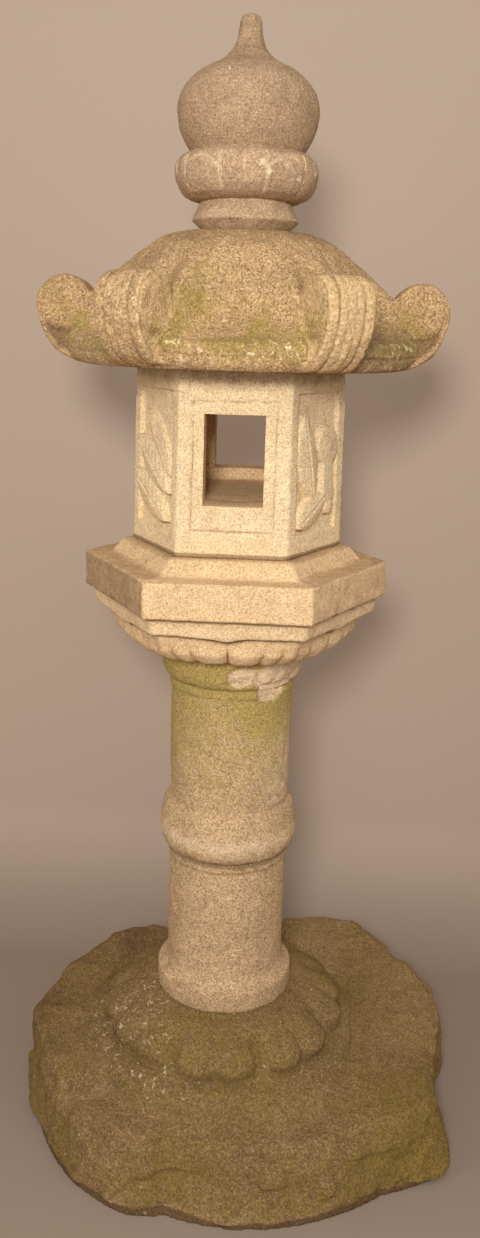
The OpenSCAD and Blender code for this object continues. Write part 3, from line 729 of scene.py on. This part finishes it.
# Painted shade in the clefts between the lobes, under the band and along the joint under the slab, with
# some dirt there too
cleft_shade = ramp(full, 0.5, 0.1) * on_bowl * bowl_part * low_bowl
under_band_shade = bowl_part * np.exp(-np.maximum(0, brace - 7 - rise) / 7) * (rise < brace)
slab_face = SLAB_R * COS30 * hexagon(angle, 0)
slab_joint_shadow = np.exp(-((rise - BOWL_H - LOWER_BAND_H + 2) / 3) ** 2) * (radius < slab_face - 4)
paint(platform, "moss", 0.03 + 0.12 * side_dirt + 0.14 * rough(place, 70, 37))
paint(platform, "dirt_and_shade", 0.06 + side_dirt + top_dirt + 0.6 * cleft_shade + 0.75 * under_band_shade + 0.9 * slab_joint_shadow
      + 0.10 * rough(place, 50, 38))
# The band and the bellies of the lobes are painted paler: partly wear, partly painted light, as the band
# faces down from the lamps and the bellies catch them
paint(platform, "worn_and_lit", 0.2 + 0.4 * chips * slab_edge + 0.3 * on_band + 0.3 * bowl_part * full * low_bowl)
paint(platform, "lichen", 0.06 + 0.08 * side_dirt + 0.2 * corner * (place[0] > 0))
platform_granite = granite("platform_granite", stone=(0.82, 0.55, 0.285), grain_dark=(0.34, 0.195, 0.095),
                           grain_pale=(0.97, 0.71, 0.42), moss=(0.56, 0.37, 0.15),
                           dirt_and_shade=(0.36, 0.215, 0.105), worn_and_lit=(0.97, 0.72, 0.43), grain=0.9, bump=0.5)
hand_over(platform, platform_granite, "platform", "platform")

# Firebox: one six-sided block of paler granite hollowed to a round chamber that is open at the top.
# A window is cut through the front and the back, with a line cut round it, and each other side has
# a sunk panel with leaves left standing in it. It only rests on the platform's step.
FIRE_Z = 1043
FIRE_H = 280
FIRE_R = 170
FIRE_TOP_R = 165
CHAMBER_R = 104
SILL_H = 79
WINDOW_W = 90.5
WINDOW_H = 136
BACK_SILL_RISE = 28
FLOOR_RISE = 9
# The front sill is cut a little above the chamber's floor, so that the two cuts share no face
SILL_LIFT = 0.7
FRAME_W = 124
FRAME_GAP = 19
FRAME_FOOT = 38
PANEL_W = 126
PANEL_BORDER = 34
PANEL_DEEP = 7
RELIEF_H = 14


def block(name, low, high):
    """A box between two corners in mm."""
    bpy.ops.object.select_all(action="DESELECT")
    middle = [(a + b) / 2 * MM for a, b in zip(low, high)]
    bpy.ops.mesh.primitive_cube_add(size=1, location=middle)
    piece = bpy.context.object
    piece.name = name
    piece.scale = [(b - a) * MM for a, b in zip(low, high)]
    bpy.ops.object.transform_apply(location=True, rotation=True, scale=True)
    return piece


def leaf(across, up, start, end, width, top):
    """Relief of one pointed leaf with a rib down its middle and veins."""
    long = math.dist(start, end)
    ux, uy = (end[0] - start[0]) / long, (end[1] - start[1]) / long
    s = (across - start[0]) * ux + (up - start[1]) * uy
    t = (up - start[1]) * ux - (across - start[0]) * uy
    bow = (long * long + width * width) / (4 * width)
    half = np.sqrt(np.maximum(0, bow * bow - (s - long / 2) ** 2)) - (bow - width / 2)
    inside = ramp(half - np.abs(t), -0.8, 1.4) * (s > 0) * (s < long)
    swell = 0.6 + 0.4 * np.clip(1 - np.abs(t) / np.maximum(half, 1), 0, 1)
    rib = 0.25 * np.exp(-(t / 2.0) ** 2)
    vein = 0.03 * np.cos((s - 1.2 * np.abs(t)) * 2 * math.pi / 17) * ramp(np.abs(t), 2, 6)
    return top * inside * np.maximum(0, swell - rib - vein)


def bud(across, up, centre, r, top):
    """Relief of a round bud."""
    away = np.hypot(across - centre[0], up - centre[1])
    return top * ramp(r - away, -0.8, 1.6) * (0.75 + 0.25 * np.clip(1 - away / r, 0, 1))


def leaf_fan(across, up):
    """Broad leaves that fan out from the lower right."""
    leaves = [leaf(across, up, (50, 48), (-82, 116), 52, RELIEF_H),
              leaf(across, up, (56, 92), (-66, 172), 50, RELIEF_H),
              leaf(across, up, (56, 118), (-30, 214), 44, 0.7 * RELIEF_H)]
    return np.maximum.reduce(leaves)


def bud_and_leaves(across, up):
    """A tall leaf, a bud on its stem and lobed leaves below."""
    stem = 0.8 * RELIEF_H * ramp(16 - np.abs(across - 27), -1, 3) * (up > 92) * (up < 166)
    leaves = [leaf(across, up, (-16, 84), (-50, 216), 54, RELIEF_H),
              leaf(across, up, (28, 92), (-64, 46), 44, RELIEF_H),
              bud(across, up, (27, 166), 30, RELIEF_H), stem,
              bud(across, up, (36, 92), 18, 0.8 * RELIEF_H), bud(across, up, (38, 70), 13, 0.8 * RELIEF_H)]
    return np.maximum.reduce(leaves)


def slope_floor(cutter, lift):
    """Tilts the bottom of a cutter to the chamber's floor, which rises from the front sill backwards."""
    place, normal = places(cutter)
    bottom = place[2] < place[2].min() + 1
    way_in = place[1] + FIRE_R * COS30
    place[2] += bottom * (lift + FLOOR_RISE * way_in / (FIRE_R * COS30 + CHAMBER_R))
    put(cutter, place)
    return cutter


firebox = post("firebox_granite", 6, FIRE_R, FIRE_TOP_R, FIRE_Z, FIRE_Z + FIRE_H)
sill_z = FIRE_Z + SILL_H
lintel_z = sill_z + WINDOW_H
chamber = post("chamber", 2 * ROUND_SIDES, CHAMBER_R, CHAMBER_R, sill_z, FIRE_Z + FIRE_H + CUT_PAST)
cut(firebox, slope_floor(chamber, 0))
weather(firebox, voxel=3.95, rounds=1)
centre = face_centres(firebox)
carved = np.abs(centre[2] - FIRE_Z - FIRE_H / 2) < FIRE_H / 2 - PANEL_BORDER + 8
refine(firebox, (np.hypot(*centre[:2]) > FIRE_TOP_R * COS30 - 4) & carved)
# The windows are cut last, so that their edges stay crisp
front_window = block("front_window", (-WINDOW_W / 2, -FIRE_R, sill_z),
                     (WINDOW_W / 2, -FIRE_R / 3, lintel_z))
back_window = block("back_window", (-WINDOW_W / 2, FIRE_R / 3, sill_z + BACK_SILL_RISE),
                    (WINDOW_W / 2, FIRE_R, lintel_z))
cut(firebox, slope_floor(front_window, SILL_LIFT))
cut(firebox, back_window)
place, normal = places(firebox)
radius, angle = round_about(place)
up = place[2] - FIRE_Z
height = np.zeros(len(up))
leaf_share = np.zeros(len(up))
panel_shade_share = np.zeros(len(up))
line_shade_share = np.zeros(len(up))
leaf_shadow_share = np.zeros(len(up))
# Side 0 is the front and side 3 the back. The leaves and the buds take turns on the other sides.
for k in range(6):
    turn = math.radians(60 * k - 90)
    outward = place[0] * math.cos(turn) + place[1] * math.sin(turn)
    across = -place[0] * math.sin(turn) + place[1] * math.cos(turn)
    facing = normal[0] * math.cos(turn) + normal[1] * math.sin(turn)
    apothem = (FIRE_R + (FIRE_TOP_R - FIRE_R) * up / FIRE_H) * COS30
    on_face = (facing > 0.8) & (outward > apothem - 5)
    if k in (0, 3):
        side = np.abs(across) - FRAME_W / 2
        level_off = np.maximum(up - SILL_H - WINDOW_H - FRAME_GAP, SILL_H - FRAME_FOOT - up)
        line = np.exp(-((np.maximum(side, level_off) + 0.8 * lumps(place, 25, 50)) / 1.7) ** 2)
        height -= on_face * 2.6 * line
        line_shade_share += on_face * line
        continue
    panel = ramp(PANEL_W / 2 - np.abs(across), -1, 1)
    panel *= ramp(FIRE_H / 2 - PANEL_BORDER - np.abs(up - FIRE_H / 2), -1, 1)
    fan = k in (2, 5)
    relief = leaf_fan(across, up) if fan else bud_and_leaves(across, up)
    height += on_face * (relief - PANEL_DEEP * np.maximum(panel, relief > 0.5))
    leaf_share += on_face * np.clip(relief / RELIEF_H, 0, 1)
    panel_shade_share += on_face * panel
    # Painted shadow that the relief casts on the panel beside it
    beside = leaf_fan(across + 3, up + 3) if fan else bud_and_leaves(across - 3, up + 3)
    leaf_shadow_share += on_face * panel * (relief < 2) * (beside > 2)
chips = ramp(rough(place, 34, 51), 0.4, 0.75)
arris = ramp(np.abs(angle % 60 - 30), 26.5, 29.5) * (radius > FIRE_TOP_R - 14)
height += 0.5 * rough(place, 22, 53) + 0.35 * lumps(place, 7, 55) - 2.5 * chips * arris
bearing = (up < FLAT_DEPTH) | (up > FIRE_H - FLAT_DEPTH)
carve(firebox, place, normal, height * ~bearing)
place, normal = places(firebox)
in_window = (np.abs(place[0]) < WINDOW_W / 2 + 1) & (up > SILL_H - 2) & (up < SILL_H + WINDOW_H + 2)
in_chamber = (radius < CHAMBER_R + 2) | in_window
soot = in_chamber * ramp(up, SILL_H + 60, FIRE_H)
# Painted shade under the roof's eave, and a painted shadow in the gap at the foot
under_roof_shade = ramp(up, FIRE_H - 40, FIRE_H - 8) * 0.5
joint_shadow = 1.4 * ramp(up, 9, 4)
# The sheltered stone inside has kept a warmer colour, painted brighter as painted light where the lamps
# reach little; it stands in the place of moss here
paint(firebox, "moss", 0.02 + 0.1 * rough(place, 60, 57) + 0.9 * in_chamber)
# Painted shade in the sunk panels, beside the leaves, in the line round the windows, under the eave and at
# the foot, with soot in the chamber and some dirt
paint(firebox, "dirt_and_shade", 0.05 + 0.1 * panel_shade_share * (1 - leaf_share) + 0.8 * leaf_shadow_share + 0.55 * line_shade_share
      + 0.25 * soot + under_roof_shade + joint_shadow + 0.08 * rough(place, 40, 58))
# The leaves are painted a little paler as a painted highlight on the relief, and the arrises are worn
paint(firebox, "worn_and_lit", 0.24 + 0.06 * leaf_share + 0.2 * arris)
paint(firebox, "lichen", np.full(len(up), 0.06))
firebox_granite = granite("firebox_granite", stone=(0.88, 0.65, 0.365), grain_dark=(0.38, 0.23, 0.115),
                          grain_pale=(0.98, 0.80, 0.52), moss=(1.0, 0.66, 0.35),
                          dirt_and_shade=(0.37, 0.22, 0.112), worn_and_lit=(0.98, 0.80, 0.52), grain=0.9, bump=0.4)
hand_over(firebox, firebox_granite, "firebox", "firebox")

# Roof: a heavy six-sided stone with a rounded eave and a fluted dome, and on each hip a fern scroll
# cut from the same block that curls back on itself. It lies on the firebox by its flat underside,
# and a round mortise in the top takes the finial. Lichen grows on the dome and along the eave.
ROOF_Z = 1323
ROOF_H = 197
EAVE_REACH = 256
EAVE_H = 38
EAVE_FLARE = 14
DOME_REACH = 194
DOME_FLARE = 56
DOME_FLAT = 0.15
DOME_FOOT_Z = 77
DOME_TOP_R = 80
DOME_STEPS = 14
FLUTE_ANGLE = 12
SCROLL_REACH = 316
CURL_R = 43
CURL_Z = 87
CURL_END = 165
SCROLL_SWEEP = 74
SCROLL_W = 76
SCROLL_BEVEL = 7
RIDGE_TOP_W = 34
RIDGE_HOLLOW = 0.27
RIDGE_SWELL = 0.57
DISC_OUT = 1.5
DISC_BORDER = 7
FINIAL_MORTISE_R = 38

crest = ROOF_H - DOME_FOOT_Z
# Reach, height above the underside, roundness and share of the flare beside the scrolls: eave, then dome
roof_levels = [(EAVE_REACH - 9, 0, 0.95, 0), (EAVE_REACH - 2, 0.2 * EAVE_H, 0.55, 0),
               (EAVE_REACH, 0.55 * EAVE_H, 0.2, 0), (EAVE_REACH - 3, EAVE_H, 0, 0),
               (225, 47, 0.25, 0.6), (206, 60, 0.4, 0.92)]
for i in range(DOME_STEPS + 1):
    turn = math.pi / 2 * i / DOME_STEPS
    dome_r = DOME_TOP_R + (DOME_REACH - DOME_TOP_R) * math.cos(turn)
    dome_z = DOME_FOOT_Z + crest * math.sin(turn)
    roof_levels.append((dome_r, dome_z, 1 - DOME_FLAT * math.cos(turn), math.cos(turn) ** 8))
level_r, level_z, level_round, level_flare = zip(*roof_levels)
roof_outline = [(r, z + ROOF_Z) for r, z in zip(level_r, level_z)]
roof_outline = [(0, ROOF_Z)] + roof_outline + [(0, ROOF_Z + ROOF_H)]
roof = turned("roof_granite", finely(roof_outline, step=5), steps=180)
place, normal = places(roof)
radius, angle = round_about(place)
rounding = np.interp(place[2] - ROOF_Z, level_z, level_round)
from_middle = np.abs(angle % 60 - 30)
flank_angle = 30 - math.degrees(math.asin(SCROLL_W / 2 / (DOME_REACH + DOME_FLARE)))
beside = np.where(from_middle < flank_angle, (from_middle / flank_angle) ** 3,
                  (30 - from_middle) / (30 - flank_angle))
low = place[2] - ROOF_Z < DOME_FOOT_Z - 1
flare = EAVE_FLARE * low * (1 - rounding) * (from_middle / 30) ** 6
flare += DOME_FLARE * beside * np.interp(place[2] - ROOF_Z, level_z, level_flare)
stretch = hexagon(angle, rounding) + flare / np.maximum(radius, 1) * (radius > 100)
place[0] *= stretch
place[1] *= stretch
put(roof, place)
mortise(roof, FINIAL_MORTISE_R, ROOF_Z + ROOF_H - MORTISE_DEEP, ROOF_Z + ROOF_H + CUT_PAST)


def sweep_curve(start, pull_start, pull_end, end, count):
    """Points along a smooth curve that leaves one end and reaches the other along two pulls."""
    points = []
    for i in range(1, count + 1):
        t, s = i / count, 1 - i / count
        parts = (s ** 3, 3 * s * s * t, 3 * s * t * t, t ** 3)
        points.append(tuple(sum(w * p[axis] for w, p in zip(parts, (start, pull_start, pull_end, end)))
                            for axis in (0, 1)))
    return points


curl_line = arc((SCROLL_REACH - CURL_R, CURL_Z), CURL_R, CURL_R, 0, CURL_END, count=20)
valley = curl_line[-1]
ridge_run = valley[0] - DOME_TOP_R
scroll_line = ([(DOME_TOP_R, 0)]
               + arc((SCROLL_REACH - SCROLL_SWEEP, CURL_Z), SCROLL_SWEEP, CURL_Z, -90, 0)
               + curl_line[1:]
               + sweep_curve(valley, (valley[0] - ridge_run * RIDGE_HOLLOW, valley[1] + 0.05 * ridge_run),
                             (DOME_TOP_R + ridge_run * RIDGE_SWELL, ROOF_H), (DOME_TOP_R, ROOF_H),
                             count=18))
valley_r = SCROLL_REACH - 2 * CURL_R
hips = []
for k in range(6):
    hip = chain("hip", [(u * MM, -SCROLL_W / 2 * MM, (z + ROOF_Z) * MM) for u, z in scroll_line])
    bpy.ops.mesh.edge_face_add()
    bpy.ops.mesh.extrude_region_move(TRANSFORM_OT_translate={"value": (0, SCROLL_W * MM, 0)})
    bpy.ops.object.mode_set(mode="OBJECT")
    finish_mesh(hip)
    place, normal = places(hip)
    narrow = np.interp(place[0], [DOME_TOP_R, valley_r], [RIDGE_TOP_W / SCROLL_W, 1])
    place[1] *= np.where(place[2] > ROOF_Z + 2, narrow, 1)
    put(hip, place)
    use_modifier(hip, "BEVEL", width=SCROLL_BEVEL * MM, segments=3, limit_method="ANGLE",
                 angle_limit=math.radians(50))
    disc_half = (SCROLL_W / 2 + DISC_OUT) * MM
    bpy.ops.object.select_all(action="DESELECT")
    bpy.ops.mesh.primitive_cylinder_add(vertices=ROUND_SIDES, radius=(CURL_R - DISC_BORDER) * MM,
                                        depth=2 * disc_half,
                                        location=((SCROLL_REACH - CURL_R) * MM, 0, (CURL_Z + ROOF_Z) * MM),
                                        rotation=(math.pi / 2, 0, 0))
    disc = bpy.context.object
    bpy.ops.object.transform_apply(location=True, rotation=True, scale=True)
    join(hip, [disc])
    hip.rotation_euler.z = math.radians(60 * k)
    hip.select_set(True)
    bpy.ops.object.transform_apply(location=True, rotation=True, scale=True)
    hip.select_set(False)
    hips.append(hip)
join(roof, hips)
weather(roof, voxel=4.6, rounds=1)
centre = face_centres(roof)
refine(roof, (np.hypot(*centre[:2]) > valley_r + 8) & (centre[2] > ROOF_Z + 2))

place, normal = places(roof)
radius, angle = round_about(place)
rise = place[2] - ROOF_Z
nearest = np.round(angle / 60) * 60
turn = np.radians(nearest)
along = place[0] * np.cos(turn) + place[1] * np.sin(turn)
aside = -place[0] * np.sin(turn) + place[1] * np.cos(turn)
outward = normal[0] * np.cos(turn) + normal[1] * np.sin(turn)
sideways = np.abs(-normal[0] * np.sin(turn) + normal[1] * np.cos(turn))
on_scroll = (along > valley_r + 6) & (np.abs(aside) < SCROLL_W / 2 + 6)
# Grooves down the front of each scroll, the strong ones a quarter in from its edges
grooves = np.zeros(len(rise))
for offset, deep in ((-20, 3.2), (-6, 1.0), (7, 1.0), (20, 3.2)):
    grooves += deep * np.exp(-((aside + 1.5 * lumps(place, 40, 60) - offset) / 2.3) ** 2)
front_face = on_scroll & (outward > 0.2) & (sideways < 0.75)
height = -grooves * front_face
# The flank of each scroll: a thin line round the disc and a smooth hollow below it inside a rim
from_curl = np.hypot(along - SCROLL_REACH + CURL_R, rise - CURL_Z)
flank = on_scroll & (sideways > 0.6)
disc_line = np.exp(-((from_curl - CURL_R + DISC_BORDER) / 1.8) ** 2)
height -= flank * 1.6 * disc_line
sweep_x = np.maximum(along - SCROLL_REACH + SCROLL_SWEEP, 0) / SCROLL_SWEEP
sweep_z = np.minimum(rise - CURL_Z, 0) / CURL_Z
from_rim = (1 - np.hypot(sweep_x, sweep_z)) * SCROLL_SWEEP
hollow = flank * ramp(from_rim, 4, 12) * ramp(from_curl, CURL_R - 8, CURL_R - 1)
hollow *= ramp(rise, CURL_Z + 8, CURL_Z - 8)
height -= 6 * hollow
# A line cut along the eave, below the smooth hollow at the foot of the dome
middle = np.abs((angle % 60 - 30) / 30)
eave_line = np.exp(-((rise - 19 - 7 * middle ** 2) / 2.2) ** 2)
on_eave = (rise > 3) & (rise < EAVE_H + 4) & (radius > EAVE_REACH - 16) & ~on_scroll
above_eave = ramp(rise, 26, 34) * (1 - ramp(rise, DOME_FOOT_Z - 18, DOME_FOOT_Z))
above_eave *= ~on_scroll & (radius > DOME_REACH)
height -= on_eave * 2.0 * eave_line
# A groove along each edge of the hip ridges, and shallow flutes that run down the dome between them
ridge_half = np.interp(along, [DOME_TOP_R, valley_r], [RIDGE_TOP_W / 2, SCROLL_W / 2])
from_ridge = np.abs(aside) - ridge_half
on_dome = (rise > DOME_FOOT_Z - 10) & (from_ridge > 0) & (radius > DOME_TOP_R + 6) & ~on_scroll
flute_wave = np.sin(np.radians((angle % 60 - 30) * 180 / FLUTE_ANGLE))
flute = np.sqrt(np.abs(flute_wave)) - 0.8
height += on_dome * 3.4 * flute * ramp(radius, DOME_TOP_R + 6, 125) * (0.6 + 0.5 * lumps(place, 90, 62))
ridge_line = np.exp(-((from_ridge - 1) / 2.4) ** 2) * (rise > DOME_FOOT_Z) * (along < valley_r + 8)
height -= 2.8 * ridge_line
chips = ramp(rough(place, 40, 61), 0.42, 0.78)
height += 1.5 * rough(place, 30, 63) + 0.7 * lumps(place, 9, 65) - 3 * chips * (on_scroll | on_eave)
bearing = (rise < FLAT_DEPTH) | ((rise > ROOF_H - FLAT_DEPTH) & (radius < DOME_TOP_R))
in_mortise = (radius < FINIAL_MORTISE_R + 3) & (rise > ROOF_H - MORTISE_DEEP - 6)
carve(roof, place, normal, height * ~bearing * ~in_mortise)
place, normal = places(roof)
right_side = (angle > -60) & (angle < 0) & ~on_scroll
low_dome = ramp(rise, 175, 80) * ramp(rise, 8, 44) * ramp(middle, 1.0, 0.6) * (1 - 0.7 * right_side)
low_dome *= 0.28 + 0.8 * rough(place, 40, 68)
paint(roof, "moss", 0.14 + low_dome + 0.24 * on_eave + 0.1 * above_eave + 0.3 * rough(place, 110, 67)
      - 0.06 * on_scroll)
# Painted shade in the hollow flanks of the side scrolls, in the valleys behind the scrolls, on the
# underside, in the grooves and the eave line, on the band above the eave and low on the dome's right side,
# which turns from the light; dirt elsewhere, most on the dome's top
valley_shade = np.exp(-((along - valley_r - 2) / 12) ** 2) * (np.abs(aside) < SCROLL_W / 2 + 4) * (rise > 60)
side_scroll = np.abs(nearest) % 180 == 0
side_hollow_shade = hollow * np.where(side_scroll, 0.65, 0.05)
paint(roof, "dirt_and_shade", 0.15 + side_hollow_shade + 0.1 * valley_shade + 0.3 * (rise < 2) + 0.12 * grooves * front_face
      + 0.3 * ramp(rise, ROOF_H - 60, ROOF_H) + 0.3 * on_eave * eave_line + 0.15 * above_eave
      + 0.2 * rough(place, 60, 66) + 0.3 * right_side * ramp(rise, 150, 60))
right_scroll = front_face & (nearest == -60)
flute_line = np.exp(-(flute_wave / 0.2) ** 2) * ramp(middle, 0.2, 0.35) * on_dome
pale_lines = np.maximum(flute_line, ridge_line) * (0.7 + 0.6 * lumps(place, 24, 64))
# The flanks of the scrolls other than the side ones are painted paler: wear and painted light on faces
# turned from the lamp
paint(roof, "worn_and_lit", 0.16 + 0.3 * front_face + 0.34 * right_scroll + 0.3 * chips * on_eave + 0.5 * pale_lines
      + flank * np.where(side_scroll, 0.12 * (1 - hollow), 0.4))
paint(roof, "lichen", 0.18 + 0.13 * on_eave + 0.10 * front_face + 0.05 * above_eave
      + 0.12 * rough(place, 70, 69) + 0.12 * pale_lines)
roof_granite = granite("roof_granite", stone=(0.56, 0.34, 0.158), grain_dark=(0.11, 0.064, 0.027),
                       grain_pale=(0.89, 0.61, 0.325), moss=(0.45, 0.32, 0.08),
                       dirt_and_shade=(0.25, 0.148, 0.068), worn_and_lit=(0.92, 0.62, 0.31),
                       lichen=(0.90, 0.72, 0.44), grain=1.1, bump=0.9)
hand_over(roof, roof_granite, "roof", "roof")

# Finial: a jewel with a tall tip on a lotus collar with a flared neck, cut from one piece of granite.
# Pale lines round ten petals are cut in the collar. A tenon under the neck stands in the roof.
FINIAL_Z = 1520
FINIAL_H = 300
NECK_FOOT_R = 63
NECK_RIM_R = 81
NECK_RIM_Z = 16
NECK_TOP_R = 68
NECK_H = 43
LOTUS_R = 108
LOTUS_H = 68
WAIST_R = 83
JEWEL_R = 105.5
JEWEL_LOW_H = 59
JEWEL_HIGH_H = 72
SPIKE_R = 15
SPIKE_ROOT_R = 55
SPIKE_SWEEP = 16.5
SPIKE_STEPS = 14
FINIAL_TENON_R = 34
COLLAR_PETALS = 10
# Small pale chips: angle from +X, height and size
CHIP_SPOTS = [(-106, 214, 7), (-62, 196, 4), (-75, 88, 7), (-70, 74, 6), (-42, 70, 5)]

lotus_foot_r = NECK_TOP_R + 4
lotus_belly = 0.64 * LOTUS_H
waist_z = NECK_H + LOTUS_H
jewel_z = waist_z + JEWEL_LOW_H
jewel_low_rz = JEWEL_LOW_H / math.sqrt(1 - (WAIST_R / JEWEL_R) ** 2)
waist_angle = -math.degrees(math.asin(JEWEL_LOW_H / jewel_low_rz))
root_angle = math.degrees(math.acos(SPIKE_ROOT_R / JEWEL_R))
root_z = jewel_z + JEWEL_HIGH_H * math.sin(math.radians(root_angle))
tip_round = 0.6 * SPIKE_R
spike_h = FINIAL_H - root_z - tip_round
spike = []
for i in range(SPIKE_STEPS + 1):
    spike_rise = spike_h * i / SPIKE_STEPS
    spike_r = SPIKE_R + (SPIKE_ROOT_R - SPIKE_R) * math.exp(-spike_rise / SPIKE_SWEEP)
    spike.append((spike_r, root_z + spike_rise))
neck_outline = [(0, -TENON_H), (FINIAL_TENON_R, -TENON_H), (FINIAL_TENON_R, 0), (NECK_FOOT_R, 0),
                (NECK_RIM_R, NECK_RIM_Z), (NECK_TOP_R, NECK_H)]
collar_outline = (
    arc((lotus_foot_r, NECK_H + lotus_belly), LOTUS_R - lotus_foot_r, lotus_belly, -90, 0)
    + arc((WAIST_R, NECK_H + lotus_belly), LOTUS_R - WAIST_R, LOTUS_H - lotus_belly, 6, 84))
jewel_outline = (
    arc((0, jewel_z), JEWEL_R, jewel_low_rz, waist_angle, 0)
    + arc((0, jewel_z), JEWEL_R, JEWEL_HIGH_H, 5, root_angle - 1)
    + spike
    + arc((SPIKE_R - tip_round, FINIAL_H - tip_round), tip_round, tip_round, 10, 90, count=6)
    + [(0, FINIAL_H)])
finial_outline = (finely(neck_outline, step=3) + finely(collar_outline, step=1.6)
                  + finely(jewel_outline, step=3))
finial = turned("finial_granite", [(r, z + FINIAL_Z) for r, z in finial_outline], steps=320)
use_modifier(finial, "SMOOTH", factor=0.5, iterations=2)
place, normal = places(finial)
radius, angle = round_about(place)
rise = place[2] - FINIAL_Z
sector = 360 / COLLAR_PETALS
petal_at = (angle + 90 + sector / 2) / sector
petal_off = petal_at - np.floor(petal_at) - 0.5
front_petal = np.floor(petal_at) % 2 == 1
on_collar = ramp(rise, NECK_H + 4, NECK_H + 10) * (1 - ramp(rise, waist_z - 10, waist_z - 3))
share = (rise - NECK_H) / LOTUS_H
wander = 0.02 * lumps(place, 30, 71)
side_line = np.exp(-((np.abs(petal_off + wander) - 0.5) / 0.026) ** 2)
arch = 0.80 - 0.5 * np.abs(petal_off) ** 2.2 * 2.2
arch_line = np.exp(-((share - arch + wander) / 0.03) ** 2) * front_petal
rib_line = np.exp(-((petal_off + wander) / 0.026) ** 2) * ~front_petal * ramp(share, 0.45, 0.6)
lines = on_collar * np.maximum(np.maximum(side_line, arch_line), rib_line)
chips = ramp(rough(place, 32, 73), 0.44, 0.78)
rims = np.exp(-((rise - NECK_RIM_Z) / 6) ** 2) + np.exp(-((share - 0.75) / 0.2) ** 2) * on_collar
height = -2.6 * lines + on_collar * 1.6 * front_petal * (share < arch)
height += 0.8 * rough(place, 30, 75) + 0.45 * lumps(place, 8, 77) - 2.6 * chips * rims
skin = (radius > FINIAL_TENON_R + 2) & (rise > FLAT_DEPTH) | (rise > waist_z)
carve(finial, place, normal, height * skin)
place, normal = places(finial)
waist_highlight = np.exp(-((rise - waist_z) / 3.5) ** 2)
paint(finial, "moss", 0.10 + 0.12 * rough(place, 60, 79) + 0.1 * ramp(rise, waist_z, waist_z + 30))
# Painted shade just above the waist under the swell of the jewel and on the underside, with dirt on the
# jewel
paint(finial, "dirt_and_shade", 0.16 + 0.24 * ramp(rise, waist_z, waist_z + 60) + 0.3 * (rise < 2)
      + 0.16 * np.exp(-((rise - waist_z - 14) / 12) ** 2) + 0.14 * rough(place, 50, 78))
# A pale line at the waist: a painted highlight on the collar's rim, partly chipped
paint(finial, "worn_and_lit", 0.10 + 0.7 * lines + 0.4 * waist_highlight + 0.34 * (rise < NECK_H) + 0.31 * on_collar
      + 0.4 * chips * rims)
chip_spots = np.zeros(len(rise))
for spot_angle, spot_z, spot_size in CHIP_SPOTS:
    chip_spots += np.exp(-(((angle - spot_angle) * 1.8) ** 2 + (rise - spot_z) ** 2) / spot_size ** 2)
paint(finial, "lichen", 0.07 + 0.07 * on_collar + 0.6 * chip_spots * (1 + rough(place, 7, 72)))
finial_granite = granite("finial_granite", stone=(0.50, 0.32, 0.18), grain_dark=(0.19, 0.115, 0.06),
                         grain_pale=(0.74, 0.52, 0.31), moss=(0.42, 0.31, 0.10),
                         dirt_and_shade=(0.30, 0.185, 0.10), worn_and_lit=(0.82, 0.575, 0.34), grain=0.9, bump=0.6)
hand_over(finial, finial_granite, "finial", "finial")
